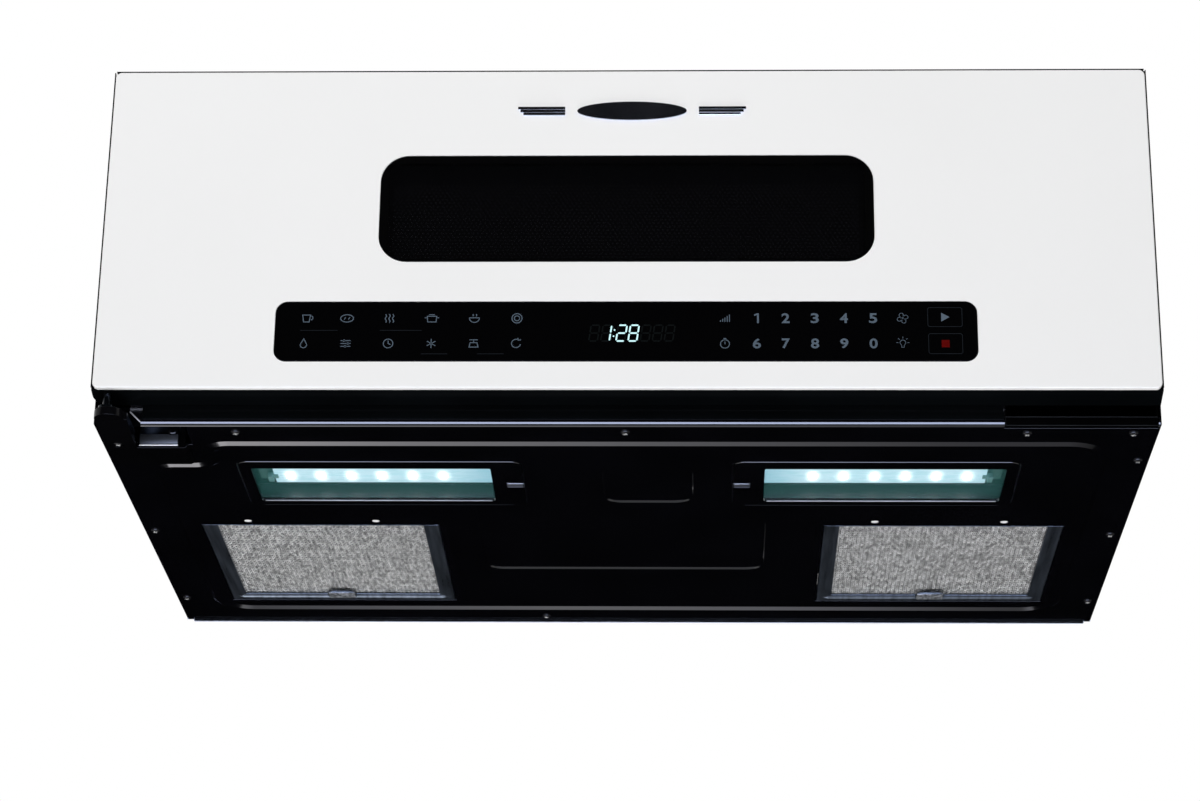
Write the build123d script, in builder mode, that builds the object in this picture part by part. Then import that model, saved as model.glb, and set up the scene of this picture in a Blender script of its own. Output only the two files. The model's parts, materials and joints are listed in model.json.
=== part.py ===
from build123d import *
import os

# Over the range microwave, in millimetres. X runs left to right as seen by the cook, +Y points to
# the wall and +Z up. The origin is at the middle of the wall face's lower edge.

# Driving sizes of the whole appliance
WIDTH = 759.0
HEIGHT = 273.0
DEPTH = 467.0
FRONT = -DEPTH
HALF_WIDTH = WIDTH / 2
DOOR_DEPTH = 22.0
CABINET_FRONT = FRONT + DOOR_DEPTH
DOOR_BACK = CABINET_FRONT - 0.5
DOOR_BOTTOM = 20.0
DOOR_LOW = 15.3
WRAP_SHEET = 0.8
BASE_SHEET = 1.2
REAR_SHEET = 1.0
REAR_LIP = 2.0
REAR_LIP_X = 374.0
GAP = 0.3

# Door front: one panel with a window above a touch control strip
PANEL_SHEET = 4.0
PANEL_BACK = FRONT + PANEL_SHEET
PANEL_INSET = 1.1
PANEL_CORNER = 4.5
WINDOW_SIZE = (357.6, 85.2)
WINDOW_Z = 160.4
WINDOW_CORNER = 21.0
CONTROL_SIZE = (500.6, 46.8)
CONTROL_Z = 63.5
CONTROL_CORNER = 9.0
GLASS_SINK = 0.2
GLASS_GAP = 0.25
GLASS_SHEET = 3.0
BADGE_X = 3.5
BADGE_Z = 238.7

# Door hinge: the pin line stands in the middle of the door's thickness, so the rounded left edge
# turns clear of the cabinet
HINGE_REACH = 10.75
HINGE_X = -HALF_WIDTH + HINGE_REACH
HINGE_Y = DOOR_BACK - HINGE_REACH
PIN_RADIUS = 3.0
PIN_BORE = 3.05
ARM_RADIUS = 6.0

# Cooking cavity
CAVITY_X = -58.0
CAVITY_INSIDE = (528.0, 334.0, 176.0)
CAVITY_FLOOR = 62.0
CAVITY_SHEET = 0.8
CAVITY_LEFT = CAVITY_X - CAVITY_INSIDE[0] / 2
CAVITY_RIGHT = CAVITY_X + CAVITY_INSIDE[0] / 2
CAVITY_MOUTH = CABINET_FRONT + 1.0
CAVITY_BACK = CAVITY_MOUTH + CAVITY_INSIDE[1]
CAVITY_MIDDLE = (CAVITY_MOUTH + CAVITY_BACK) / 2
CAVITY_TOP = CAVITY_FLOOR + CAVITY_INSIDE[2]

# Turntable
COUPLER_RADIUS = 9.0
ROLLER_RADIUS = 8.0
ROLLER_RING_RADIUS = 105.0
ROLLER_Z = CAVITY_FLOOR + GAP + ROLLER_RADIUS
TRAY_RADIUS = 152.5
TRAY_LUG = 1.6
TRAY_BOTTOM = ROLLER_Z + ROLLER_RADIUS + GAP

# Underside, measured back from the door's front face
BASE_WIDTH = 2 * (HALF_WIDTH - WRAP_SHEET)
BASE_WALL = 17.7
BASE_EDGE = 3.5
BEAD_WIDTH = 11.0
BEAD_HEIGHT = 1.8
BEAD_SLOPE = 65.0
BEAD_SIDE = 344.0
BEAD_FRONT = FRONT + 59.0
BEAD_REAR = FRONT + 435.0
PADS = ((-6.7, FRONT + 275.0, 222.6, 120.0), (14.6, FRONT + 142.6, 68.6, 76.0))
PAD_SINK = 0.9
LAMP_X = (77.0, 288.0)
LAMP_Y = (FRONT + 92.5, FRONT + 185.5)
LAMP_CORNER = 9.0
LAMP_PIVOT_X = 286.0
LAMP_ROLL_Y = (LAMP_Y[0] + 12.0, LAMP_Y[1] - 12.0)
LAMP_GLASS_X = (101.0, 278.0)
LAMP_GLASS_Y = (FRONT + 107.0, FRONT + 174.5)
LED_BOARD_X = (99.0, 268.0)
LED_Y = FRONT + 163.0
LED_PITCH = 23.1
LED_COUNT = 6
LED_MIDDLES = {-1: 198.1, 1: 195.8}
FILTER_X = (149.0, 332.0)
FILTER_Y = (FRONT + 231.5, FRONT + 413.0)
FILTER_RAIL = 11.5
FILTER_RIM = 14.0
FILTER_DEPTH = 8.5
BAR_RADIUS = 4.0
POCKET_X = (269.0, 377.5)
POCKET_LIP = 6.5
POCKET_LIP_BACK = CABINET_FRONT + 4.4
POCKET_TOP = 46.0
POCKET_BACK = CABINET_FRONT + 34.0
TAB_HOLES = (-295.5, -196.5, 187.3, 286.0)
COVER_X = (-378.6, -317.0)
COVER_BACK = FRONT + 94.0
COVER_WINDOW_X = (-354.0, -319.2)
COVER_WINDOW_BACK = -408.4
NOSE_X = -366.4
NOSE_LEFT = -377.0
NOSE_TOP = 6.0
HINGE_PLATE_Z = (14.0, 16.5)
HINGE_PLATE_FRONT = -438.0
HINGE_ARM_Z = (7.0, 9.5)
HINGE_PIN_TOP = 26.5
HINGE_FLANGE_X = (-352.5, -324.0)
HINGE_FLANGE_Y = -407.0
SCREW_SPOTS = [
    (-279.4, 35.0),
    (0.0, 35.0),
    (286.0, 36.4),
    (361.3, 36.4),
    (371.0, 90.0),
    (370.0, 250.0),
    (371.0, 412.4),
    (-371.0, 244.6),
    (-371.0, 409.0),
    (-75.4, 455.0),
]
COVER_SCREW = (-367.0, FRONT + 53.0)
SCREW_HEAD = 3.7
SCREW_SHANK = 1.9

# Extraction blower, exhaust collar and vents
BLOWER_Y = -53.0
BLOWER_Z = 212.0
BLOWER_WHEEL = 42.0
BLOWER_WHEEL_X = (-185.0, 25.0)
BLOWER_WHEEL_LENGTH = 78.0
BLOWER_HOUSING = 49.0
BLOWER_MOTOR_X = -80.0
BLOWER_SHAFT = 4.0
DUCT_SIZE = (254.0, 82.5)
DUCT_Y = -53.0
DUCT_RISE = 18.0
VENT_Y = (CABINET_FRONT + 12.0, CABINET_FRONT + 62.0)

# Cooling fan of the microwave generator
FAN_X = 300.0
FAN_Y = -205.0
FAN_Z = 185.0
FAN_RADIUS = 44.0

# Door latch
LATCH_X = 362.0
HOOK_Z = (92.0, 226.0)
SPRING_RADIUS = 2.6
SPRING_WIRE = 0.35
SPRING_TURNS = 8
SPRING_TOP = HOOK_Z[0] - 20.5
SPRING_BOTTOM = SPRING_TOP - 20.0
SPRING_Y = -455.6

os.makedirs("parts", exist_ok=True)


def solid_box(x, y, z, mode=Mode.ADD):
    """Box between two values on each axis, added to the part being built."""
    with Locations(((x[0] + x[1]) / 2, (y[0] + y[1]) / 2, (z[0] + z[1]) / 2)):
        Box(x[1] - x[0], y[1] - y[0], z[1] - z[0], mode=mode)


def rod(x, y, z, radius, height, turn=(0, 0, 0), mode=Mode.ADD):
    """Cylinder about a middle point, turned by angles about X, Y and Z."""
    with Locations(Location((x, y, z), turn)):
        Cylinder(radius, height, mode=mode)


def save(piece, name):
    """Label a finished piece and write it."""
    piece.part.label = name
    export_step(piece.part, f"parts/{name}.step")


def middle(pair):
    """Middle of a pair of values."""
    return (pair[0] + pair[1]) / 2


def span(pair):
    """Distance between a pair of values."""
    return pair[1] - pair[0]


ALONG_X = (0, 90, 0)
ALONG_Y = (90, 0, 0)

# ---------------------------------------------------------------------------
# Underside
# ---------------------------------------------------------------------------

with BuildSketch() as bead_field:
    with BuildLine():
        FilletPolyline(
            (-BEAD_SIDE, BEAD_REAR),
            (-BEAD_SIDE, COVER_BACK + 8.5),
            (-303.0, COVER_BACK + 8.5),
            (-303.0, BEAD_FRONT),
            (BEAD_SIDE, BEAD_FRONT),
            (BEAD_SIDE, BEAD_REAR),
            radius=[26.0, 10.0, 15.0, 15.0, 26.0, 26.0],
            close=True,
        )
    make_face()

with BuildSketch() as bead_outside:
    offset(bead_field.sketch, amount=BEAD_WIDTH / 2)

with BuildSketch() as bead_inside:
    offset(bead_field.sketch, amount=-BEAD_WIDTH / 2)

with BuildPart() as base_plate:
    with BuildSketch():
        with Locations((0, (CABINET_FRONT - REAR_SHEET) / 2)):
            Rectangle(BASE_WIDTH, -REAR_SHEET - CABINET_FRONT)
    extrude(amount=BASE_WALL)
    fillet(base_plate.edges().filter_by(Axis.X).group_by(Axis.Z)[0].sort_by(Axis.Y)[0], BASE_EDGE)
    offset(amount=-BASE_SHEET, openings=base_plate.faces().sort_by(Axis.Z)[-1])
    # pressed panels, sunk into the floor
    for pad_x, pad_y, pad_w, pad_d in PADS:
        with BuildSketch():
            with Locations((pad_x, pad_y)):
                RectangleRounded(pad_w, pad_d, 15.0)
        extrude(amount=BASE_SHEET + PAD_SINK, taper=45)
        with BuildSketch():
            with Locations((pad_x, pad_y)):
                RectangleRounded(pad_w - 1.0, pad_d - 1.0, 14.5)
        extrude(amount=PAD_SINK, taper=45, mode=Mode.SUBTRACT)
    # stiffening bead with gentle slopes that runs round the floor
    extrude(bead_outside.sketch, amount=-BEAD_HEIGHT, taper=BEAD_SLOPE)
    extrude(bead_inside.sketch, amount=-BEAD_HEIGHT, taper=-BEAD_SLOPE, mode=Mode.SUBTRACT)
    for side in (-1, 1):
        # openings for the lamps and the grease filters
        with BuildSketch(Plane.XY.offset(-1)):
            with Locations((side * middle(LAMP_X), middle(LAMP_Y))):
                RectangleRounded(span(LAMP_X), span(LAMP_Y), LAMP_CORNER)
            with Locations((side * middle(FILTER_X), middle(FILTER_Y))):
                Rectangle(span(FILTER_X) + 2, span(FILTER_Y) + 2)
        extrude(amount=4, mode=Mode.SUBTRACT)
    # half round tab holes in front of the filters
    with BuildSketch(Plane.XY.offset(-1)):
        for tab in TAB_HOLES:
            with Locations((tab, FILTER_Y[0] - 8.7)):
                Circle(3.2)
            with Locations((tab, FILTER_Y[0] - 4.0)):
                Rectangle(8.0, 5.0, mode=Mode.SUBTRACT)
    extrude(amount=4, mode=Mode.SUBTRACT)
    # finger recess on the right, where the recess's own lip takes the place of the bent edge
    solid_box(POCKET_X, (-450, POCKET_LIP_BACK + GAP), (-1, POCKET_LIP + 1), Mode.SUBTRACT)
    solid_box((POCKET_X[0], 380), (-450, POCKET_BACK), (POCKET_LIP, 20), Mode.SUBTRACT)
    # hinge corner on the left, where the front wall ends in a slanting cut
    solid_box((-380, COVER_WINDOW_X[0]), (-450, -418.0), (-1, 20), Mode.SUBTRACT)
    solid_box((-380, -314.0), (-442.6, HINGE_FLANGE_Y), (-1, 2), Mode.SUBTRACT)
    with BuildSketch(Plane.XZ.offset(450)):
        with BuildLine():
            Polyline((-356, -1), (-346, -1), (-346, 2.5), (-354, 10.5), (-356, 10.5), close=True)
        make_face()
    extrude(amount=-10, mode=Mode.SUBTRACT)
    for spot_x, spot_y in SCREW_SPOTS:
        rod(spot_x, FRONT + spot_y, 0, SCREW_SHANK + 0.2, 6, mode=Mode.SUBTRACT)
save(base_plate, "base_plate")

with BuildPart() as base_screws:
    for spot_x, spot_y in SCREW_SPOTS:
        rod(spot_x, FRONT + spot_y, -1.0, SCREW_HEAD, 2.0)
        rod(spot_x, FRONT + spot_y, 2.5, SCREW_SHANK, 7.0)
        with Locations((spot_x, FRONT + spot_y, -1.6)):
            Box(4.0, 0.9, 1.0, mode=Mode.SUBTRACT)
            Box(0.9, 4.0, 1.0, mode=Mode.SUBTRACT)
    # the one that holds the hinge cover is sunk in it
    rod(COVER_SCREW[0], COVER_SCREW[1], -2.6, SCREW_HEAD, 1.6)
    rod(COVER_SCREW[0], COVER_SCREW[1], 2.0, SCREW_SHANK, 8.0)
save(base_screws, "base_screws")

with BuildPart() as hinge_cover:
    solid_box(COVER_X, (-432.0, COVER_BACK), (-3.0, 0))
    chamfer(hinge_cover.edges().group_by(Axis.Z)[0].filter_by(Axis.X).sort_by(Axis.Y)[-1], 2.4)
    chamfer(hinge_cover.edges().group_by(Axis.Z)[0].filter_by(Axis.Y), 2.4)
    solid_box((COVER_WINDOW_X[0], COVER_X[1] + 1), (-450, COVER_WINDOW_BACK), (-4, 1), Mode.SUBTRACT)
    # rib that closes the window on the right
    solid_box((HINGE_FLANGE_X[1] + 0.3, COVER_WINDOW_X[1]), (COVER_WINDOW_BACK, HINGE_FLANGE_Y), (-1, 13.5))
    # rounded nose that hides the hinge arm under the door's corner and slopes down to the cover
    solid_box((NOSE_LEFT, COVER_WINDOW_X[0]), (HINGE_Y, -419.0), (0, NOSE_TOP))
    rod(NOSE_X, HINGE_Y, NOSE_TOP / 2, 10.7, NOSE_TOP)
    with BuildSketch(Plane.YZ.offset(NOSE_LEFT)):
        with BuildLine():
            Polyline((-452.0, 0), (-432.0, -3.0), (-432.0, 0), close=True)
        make_face()
    extrude(amount=COVER_WINDOW_X[0] - NOSE_LEFT)
    # sunk seat of its screw
    rod(COVER_SCREW[0], COVER_SCREW[1], -2.8, SCREW_HEAD + 0.6, 2.0, mode=Mode.SUBTRACT)
    rod(COVER_SCREW[0], COVER_SCREW[1], 0, SCREW_SHANK + 0.2, 30.0, mode=Mode.SUBTRACT)
    save(hinge_cover, "hinge_cover")

with BuildPart() as lower_hinge:
    # plate that lies on the base, with an arm that steps down in front of it and carries the pin
    arm_x = (HINGE_X - ARM_RADIUS, HINGE_X + ARM_RADIUS)
    web_y = (HINGE_PLATE_FRONT, HINGE_PLATE_FRONT + 2.5)
    solid_box((-376.0, -322.0), (HINGE_PLATE_FRONT, HINGE_FLANGE_Y), HINGE_PLATE_Z)
    solid_box(arm_x, web_y, (HINGE_ARM_Z[0], HINGE_PLATE_Z[1]))
    solid_box(arm_x, (HINGE_Y, web_y[1]), HINGE_ARM_Z)
    rod(HINGE_X, HINGE_Y, middle(HINGE_ARM_Z), ARM_RADIUS, span(HINGE_ARM_Z))
    pin_z = (HINGE_ARM_Z[0], HINGE_PIN_TOP)
    rod(HINGE_X, HINGE_Y, middle(pin_z), PIN_RADIUS, span(pin_z))
    # flange seen through the cover's window, with a step across its middle and a screw in it
    solid_box(HINGE_FLANGE_X, (HINGE_FLANGE_Y - 1.6, HINGE_FLANGE_Y), (0.3, HINGE_PLATE_Z[0]))
    solid_box(HINGE_FLANGE_X, (HINGE_FLANGE_Y - 3.0, HINGE_FLANGE_Y - 1.6), (-1.9, 7.4))
    rod(-328.6, HINGE_FLANGE_Y - 3.2, 9.9, 4.2, 2.4, ALONG_Y)
save(lower_hinge, "lower_hinge")

with BuildPart() as handle_pocket:
    solid_box(POCKET_X, (CABINET_FRONT + 1.2, POCKET_BACK), (POCKET_LIP, POCKET_TOP))
    solid_box(
        (POCKET_X[0] + 1.4, POCKET_X[1] - 1.4),
        (CABINET_FRONT, POCKET_BACK - 1.4),
        (POCKET_LIP + 1.4, POCKET_TOP - 1.4),
        Mode.SUBTRACT,
    )
    # lip that stands in the base's front edge
    lip_x = (POCKET_X[0] + GAP, POCKET_X[1] - GAP)
    solid_box(lip_x, (CABINET_FRONT, POCKET_LIP_BACK), (0.25, POCKET_LIP + 0.7))
save(handle_pocket, "handle_pocket")

# Lamps: a steel reflector box, a board of light emitting diodes and a hinged cover with its glass
with BuildPart() as lamp_boxes:
    for side in (-1, 1):
        with BuildSketch(Plane.XY.offset(2.2)):
            with Locations((side * middle(LAMP_X), middle(LAMP_Y))):
                Rectangle(span(LAMP_X) + 8, span(LAMP_Y) + 8)
        extrude(amount=17)
        with BuildSketch(Plane.XY.offset(2.2)):
            with Locations((side * middle(LAMP_X), middle(LAMP_Y))):
                Rectangle(span(LAMP_X) + 6, span(LAMP_Y) + 6)
        extrude(amount=16, mode=Mode.SUBTRACT)
save(lamp_boxes, "lamp_boxes")

with BuildPart() as led_boards:
    for side in (-1, 1):
        solid_box(
            sorted((side * LED_BOARD_X[0], side * LED_BOARD_X[1])),
            (LED_Y - 14.0, LED_Y + 14.0),
            (15.0, 16.6),
        )
        for index in range(LED_COUNT):
            led_x = side * (LED_MIDDLES[side] + (index - (LED_COUNT - 1) / 2) * LED_PITCH)
            solid_box((led_x - 2.5, led_x + 2.5), (LED_Y - 2.5, LED_Y + 2.5), (13.8, 15.0))
        for foot in (LED_BOARD_X[0] + 6, LED_BOARD_X[1] - 6):
            rod(side * foot, LED_Y, 17.4, 2.0, 1.6)
save(led_boards, "led_boards")

for side, word in ((-1, "left"), (1, "right")):
    with BuildPart() as lamp_cover:
        with BuildSketch(Plane.XY.offset(-0.6)):
            with Locations((side * middle(LAMP_X), middle(LAMP_Y))):
                RectangleRounded(span(LAMP_X) - 2.0, span(LAMP_Y) - 2.0, LAMP_CORNER - 1.0)
        extrude(amount=2.2)
        fillet(lamp_cover.faces().sort_by(Axis.Z)[0].edges(), 0.6)
        with BuildSketch(Plane.XY.offset(-1)):
            with Locations((side * middle(LAMP_GLASS_X), middle(LAMP_GLASS_Y))):
                RectangleRounded(span(LAMP_GLASS_X), span(LAMP_GLASS_Y), 1.5)
            with Locations((side * 84.6, FRONT + 143.5)):
                Rectangle(12.0, 17.0)
        extrude(amount=4, mode=Mode.SUBTRACT)
        # rolled outer edge that the cover turns on
        outer_edge = sorted((side * LAMP_PIVOT_X, side * (LAMP_X[1] + 1)))
        solid_box(outer_edge, LAMP_ROLL_Y, (-2, 3), Mode.SUBTRACT)
        rod(side * LAMP_PIVOT_X, middle(LAMP_Y), 0.5, 1.1, span(LAMP_ROLL_Y), ALONG_Y)
        # sprung tongue in the slot at the inner end
        solid_box(sorted((side * 78.6, side * 88.6)), (FRONT + 139.5, FRONT + 147.5), (0.4, 1.4))
    save(lamp_cover, f"lamp_cover_{word}")

    with BuildPart() as lamp_glass:
        with BuildSketch(Plane.XY.offset(1.8)):
            with Locations((side * middle(LAMP_GLASS_X), middle(LAMP_GLASS_Y))):
                RectangleRounded(span(LAMP_GLASS_X) + 8, span(LAMP_GLASS_Y) + 8, 2.0)
        extrude(amount=3.0)
    save(lamp_glass, f"lamp_glass_{word}")

    # Grease filter: an aluminium channel frame round a pad of expanded mesh
    filter_x = sorted((side * FILTER_X[0], side * FILTER_X[1]))
    with BuildPart() as filter_frame:
        solid_box(filter_x, FILTER_Y, (0.0, FILTER_DEPTH))
        # rolled bar along the rear rim, pointed at both ends
        bar_y = FILTER_Y[1] - 7.5
        bar_half = span(FILTER_X) / 2 - 9.0
        rod(middle(filter_x), bar_y, BAR_RADIUS - 1.5, BAR_RADIUS, 2 * bar_half, ALONG_X)
        for end in (-1, 1):
            tip = (middle(filter_x) + end * (bar_half + 3.0), bar_y, BAR_RADIUS - 1.5)
            with Locations(Location(tip, (0, end * 90, 0))):
                Cone(BAR_RADIUS, BAR_RADIUS - 1.5, 6.0)
        solid_box(
            (filter_x[0] + FILTER_RAIL, filter_x[1] - FILTER_RAIL),
            (FILTER_Y[0] + 1.0, FILTER_Y[1] - FILTER_RIM),
            (-1, 10),
            Mode.SUBTRACT,
        )
        solid_box(
            (filter_x[0] + 1.0, filter_x[1] - 1.0),
            (FILTER_Y[0] + 1.0, FILTER_Y[1] - 1.0),
            (1.0, FILTER_DEPTH - 1.0),
            Mode.SUBTRACT,
        )
        # finger tab in the middle of the rear rim, bent down over the mesh
        with BuildSketch(Plane.XY.offset(-2.4)):
            with Locations((middle(filter_x), FILTER_Y[1] - 18.5)):
                RectangleRounded(23.0, 15.0, 5.0)
        extrude(amount=1.2)
        tab_x = (middle(filter_x) - 6.0, middle(filter_x) + 6.0)
        solid_box(tab_x, (FILTER_Y[1] - 14.0, FILTER_Y[1] - 12.0), (-1.3, 0.9))
    save(filter_frame, f"filter_frame_{word}")

    with BuildPart() as filter_mesh:
        solid_box(
            (filter_x[0] + 1.4, filter_x[1] - 1.4),
            (FILTER_Y[0] + 1.4, FILTER_Y[1] - 1.4),
            (1.2, FILTER_DEPTH - 1.2),
        )
    save(filter_mesh, f"filter_mesh_{word}")

# ---------------------------------------------------------------------------
# Cabinet shell
# ---------------------------------------------------------------------------

DUCT_X = (-DUCT_SIZE[0] / 2, DUCT_SIZE[0] / 2)
DUCT_SPAN_Y = (DUCT_Y - DUCT_SIZE[1] / 2, DUCT_Y + DUCT_SIZE[1] / 2)
DAMPER_Y = DUCT_SPAN_Y[1] - 6.0
DAMPER_Z = HEIGHT + 8.0
UPPER_NOTCH = 5.0
TOP_BOLTS_X = (-203.0, 203.0)
TOP_BOLTS_Y = -330.0
TOP_BOLT_RADIUS = 3.5
WALL_SLOTS_X = (-300.0, -150.0, 150.0, 300.0)
WALL_SLOT_Z = (32.0, 42.0)
CORD_HOLE = (330.0, -75.0)
CORD_HOLE_RADIUS = 8.0
CORD_BORE = 4.2

# The wrap is one sheet bent over the top and down both sides
with BuildPart() as outer_wrap:
    solid_box((-HALF_WIDTH, HALF_WIDTH), (CABINET_FRONT, -REAR_SHEET), (HEIGHT - WRAP_SHEET, HEIGHT))
    for side_x in ((-HALF_WIDTH, -HALF_WIDTH + WRAP_SHEET), (HALF_WIDTH - WRAP_SHEET, HALF_WIDTH)):
        solid_box(side_x, (CABINET_FRONT, -REAR_SHEET), (1.0, HEIGHT))
    solid_box(DUCT_X, DUCT_SPAN_Y, (HEIGHT - 2, HEIGHT + 2), Mode.SUBTRACT)
    solid_box((-200, 200), VENT_Y, (HEIGHT - 2, HEIGHT + 2), Mode.SUBTRACT)
    for bolt_x in TOP_BOLTS_X:
        rod(bolt_x, TOP_BOLTS_Y, HEIGHT, TOP_BOLT_RADIUS, 4, mode=Mode.SUBTRACT)
    rod(*CORD_HOLE, HEIGHT, CORD_HOLE_RADIUS, 4, mode=Mode.SUBTRACT)
    # notch for the upper hinge arm
    notch_z = (HEIGHT - UPPER_NOTCH, HEIGHT + 1)
    solid_box((-HALF_WIDTH - 1, -350.0), (CABINET_FRONT - 1, -440.0), notch_z, Mode.SUBTRACT)
save(outer_wrap, "outer_wrap")

with BuildPart() as rear_panel:
    solid_box((-HALF_WIDTH, HALF_WIDTH), (-REAR_SHEET, 0), (0, HEIGHT))
    # lower edge that stands a little below the floor
    solid_box((-REAR_LIP_X, REAR_LIP_X), (-REAR_SHEET, 0), (-REAR_LIP, 1))
    fillet(rear_panel.edges().filter_by(Axis.Y).group_by(Axis.Z)[0], REAR_LIP - 0.3)
    # hooks of the wall plate drop into these slots
    for slot_x in WALL_SLOTS_X:
        solid_box((slot_x - 12, slot_x + 12), (-3, 1), WALL_SLOT_Z, Mode.SUBTRACT)
save(rear_panel, "rear_panel")

with BuildPart() as front_frame:
    solid_box((-378.4, 378.4), (CABINET_FRONT, CAVITY_MOUTH), (DOOR_BOTTOM, HEIGHT - WRAP_SHEET))
    solid_box((CAVITY_LEFT, CAVITY_RIGHT), (-450, -440), (CAVITY_FLOOR, CAVITY_TOP), Mode.SUBTRACT)
    solid_box(POCKET_X, (-450, -440), (0, POCKET_TOP), Mode.SUBTRACT)
    for hook_z in HOOK_Z:
        solid_box((LATCH_X - 6, LATCH_X + 6), (-450, -440), (hook_z - 12, hook_z + 14), Mode.SUBTRACT)
    solid_box((-380.0, -350.0), (-450, -440), (HEIGHT - UPPER_NOTCH, HEIGHT), Mode.SUBTRACT)
save(front_frame, "front_frame")

with BuildPart() as upper_hinge:
    solid_box((-377.5, -352.0), (-439.0, -405.0), (HEIGHT - 4.6, HEIGHT - 1.0))
    arm_x = (HINGE_X - ARM_RADIUS, HINGE_X + ARM_RADIUS)
    solid_box(arm_x, (HINGE_Y, -438.0), (HEIGHT - 4.6, HEIGHT - 1.6))
    rod(HINGE_X, HINGE_Y, HEIGHT - 3.1, ARM_RADIUS, 3.0)
    rod(HINGE_X, HINGE_Y, HEIGHT - 9.0, PIN_RADIUS, 12.0)
save(upper_hinge, "upper_hinge")

with BuildPart() as vent_grille:
    solid_box((-200, 200), VENT_Y, (HEIGHT - 4.0, HEIGHT - 0.6))
    with Locations((0, middle(VENT_Y), HEIGHT)):
        with GridLocations(44.0, 9.0, 9, 5):
            Box(38.0, 4.5, 12, mode=Mode.SUBTRACT)
save(vent_grille, "vent_grille")

with BuildPart() as charcoal_filter:
    solid_box((-195, 195), (VENT_Y[0] + 2, VENT_Y[1] - 2), (HEIGHT - 21.0, HEIGHT - 4.4))
save(charcoal_filter, "charcoal_filter")

with BuildPart() as exhaust_adapter:
    collar_x = (DUCT_X[0] - 1.0, DUCT_X[1] + 1.0)
    collar_y = (DUCT_SPAN_Y[0] - 1.0, DUCT_SPAN_Y[1] + 1.0)
    solid_box(collar_x, collar_y, (HEIGHT, HEIGHT + DUCT_RISE))
    # flange that lies on the cabinet's top
    flange_x = (DUCT_X[0] - 14, DUCT_X[1] + 14)
    flange_y = (DUCT_SPAN_Y[0] - 9, DUCT_SPAN_Y[1] + 9)
    solid_box(flange_x, flange_y, (HEIGHT, HEIGHT + 1.2))
    solid_box(DUCT_X, DUCT_SPAN_Y, (HEIGHT - 1, HEIGHT + DUCT_RISE + 1), Mode.SUBTRACT)
    # pin stubs for the damper, one at each end
    for end in (-1, 1):
        rod(end * (DUCT_X[1] - 3.0), DAMPER_Y, DAMPER_Z, 1.6, 6.0, ALONG_X)
save(exhaust_adapter, "exhaust_adapter")

with BuildPart() as damper_flap:
    flap_x = (DUCT_X[0] + 7.0, DUCT_X[1] - 7.0)
    solid_box(flap_x, (DUCT_SPAN_Y[0] + 1.5, DAMPER_Y), (DAMPER_Z - 0.6, DAMPER_Z + 0.6))
    rod(0, DAMPER_Y, DAMPER_Z, 3.2, span(flap_x), ALONG_X)
    for end in (-1, 1):
        rod(end * flap_x[1], DAMPER_Y, DAMPER_Z, 1.65, 16.0, ALONG_X, Mode.SUBTRACT)
save(damper_flap, "damper_flap")

with BuildPart() as cord_gland:
    rod(*CORD_HOLE, HEIGHT + 1.5, CORD_HOLE_RADIUS + 3, 3.0)
    rod(*CORD_HOLE, HEIGHT - 6.0, CORD_HOLE_RADIUS - 0.1, 12.0)
    rod(*CORD_HOLE, HEIGHT - 3.0, CORD_BORE, 30.0, mode=Mode.SUBTRACT)
save(cord_gland, "cord_gland")

# ---------------------------------------------------------------------------
# Cooking cavity, turntable and microwave generator
# ---------------------------------------------------------------------------

CAVITY_X_SPAN = (CAVITY_LEFT, CAVITY_RIGHT)
CAVITY_Y_SPAN = (CAVITY_MOUTH, CAVITY_BACK)
CAVITY_Z_SPAN = (CAVITY_FLOOR, CAVITY_TOP)
PORT_Y = (CAVITY_MIDDLE - 45.0, CAVITY_MIDDLE + 45.0)
PORT_Z = (150.0, 225.0)
GUIDE_DEPTH = 26.0
LAMP_HOLE_Y = CAVITY_MIDDLE + 90.0
LAMP_HOLE_Z = 195.0

with BuildPart() as oven_cavity:
    solid_box(
        (CAVITY_LEFT - CAVITY_SHEET, CAVITY_RIGHT + CAVITY_SHEET),
        (CAVITY_MOUTH, CAVITY_BACK + CAVITY_SHEET),
        (CAVITY_FLOOR - CAVITY_SHEET, CAVITY_TOP + CAVITY_SHEET),
    )
    solid_box(CAVITY_X_SPAN, (CAVITY_MOUTH - 1, CAVITY_BACK), CAVITY_Z_SPAN, Mode.SUBTRACT)
    rod(CAVITY_X, CAVITY_MIDDLE, CAVITY_FLOOR, 6.0, 4, mode=Mode.SUBTRACT)
    # opening for the microwaves, and air holes beside it and in the left wall
    solid_box((CAVITY_RIGHT - 1, CAVITY_RIGHT + 2), PORT_Y, PORT_Z, Mode.SUBTRACT)
    for wall_x in (CAVITY_LEFT, CAVITY_RIGHT):
        with Locations(Location((wall_x, CAVITY_MIDDLE - 95.0, LAMP_HOLE_Z), ALONG_X)):
            with GridLocations(8.0, 8.0, 5, 6):
                Cylinder(2.0, 6, mode=Mode.SUBTRACT)
    rod(CAVITY_RIGHT, LAMP_HOLE_Y, LAMP_HOLE_Z, 8.0, 6, ALONG_X, Mode.SUBTRACT)
save(oven_cavity, "oven_cavity")

with BuildPart() as waveguide_cover:
    solid_box(
        (CAVITY_RIGHT - 1.0, CAVITY_RIGHT - 0.2),
        (PORT_Y[0] - 6, PORT_Y[1] + 6),
        (PORT_Z[0] - 6, PORT_Z[1] + 6),
    )
save(waveguide_cover, "waveguide_cover")

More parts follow.
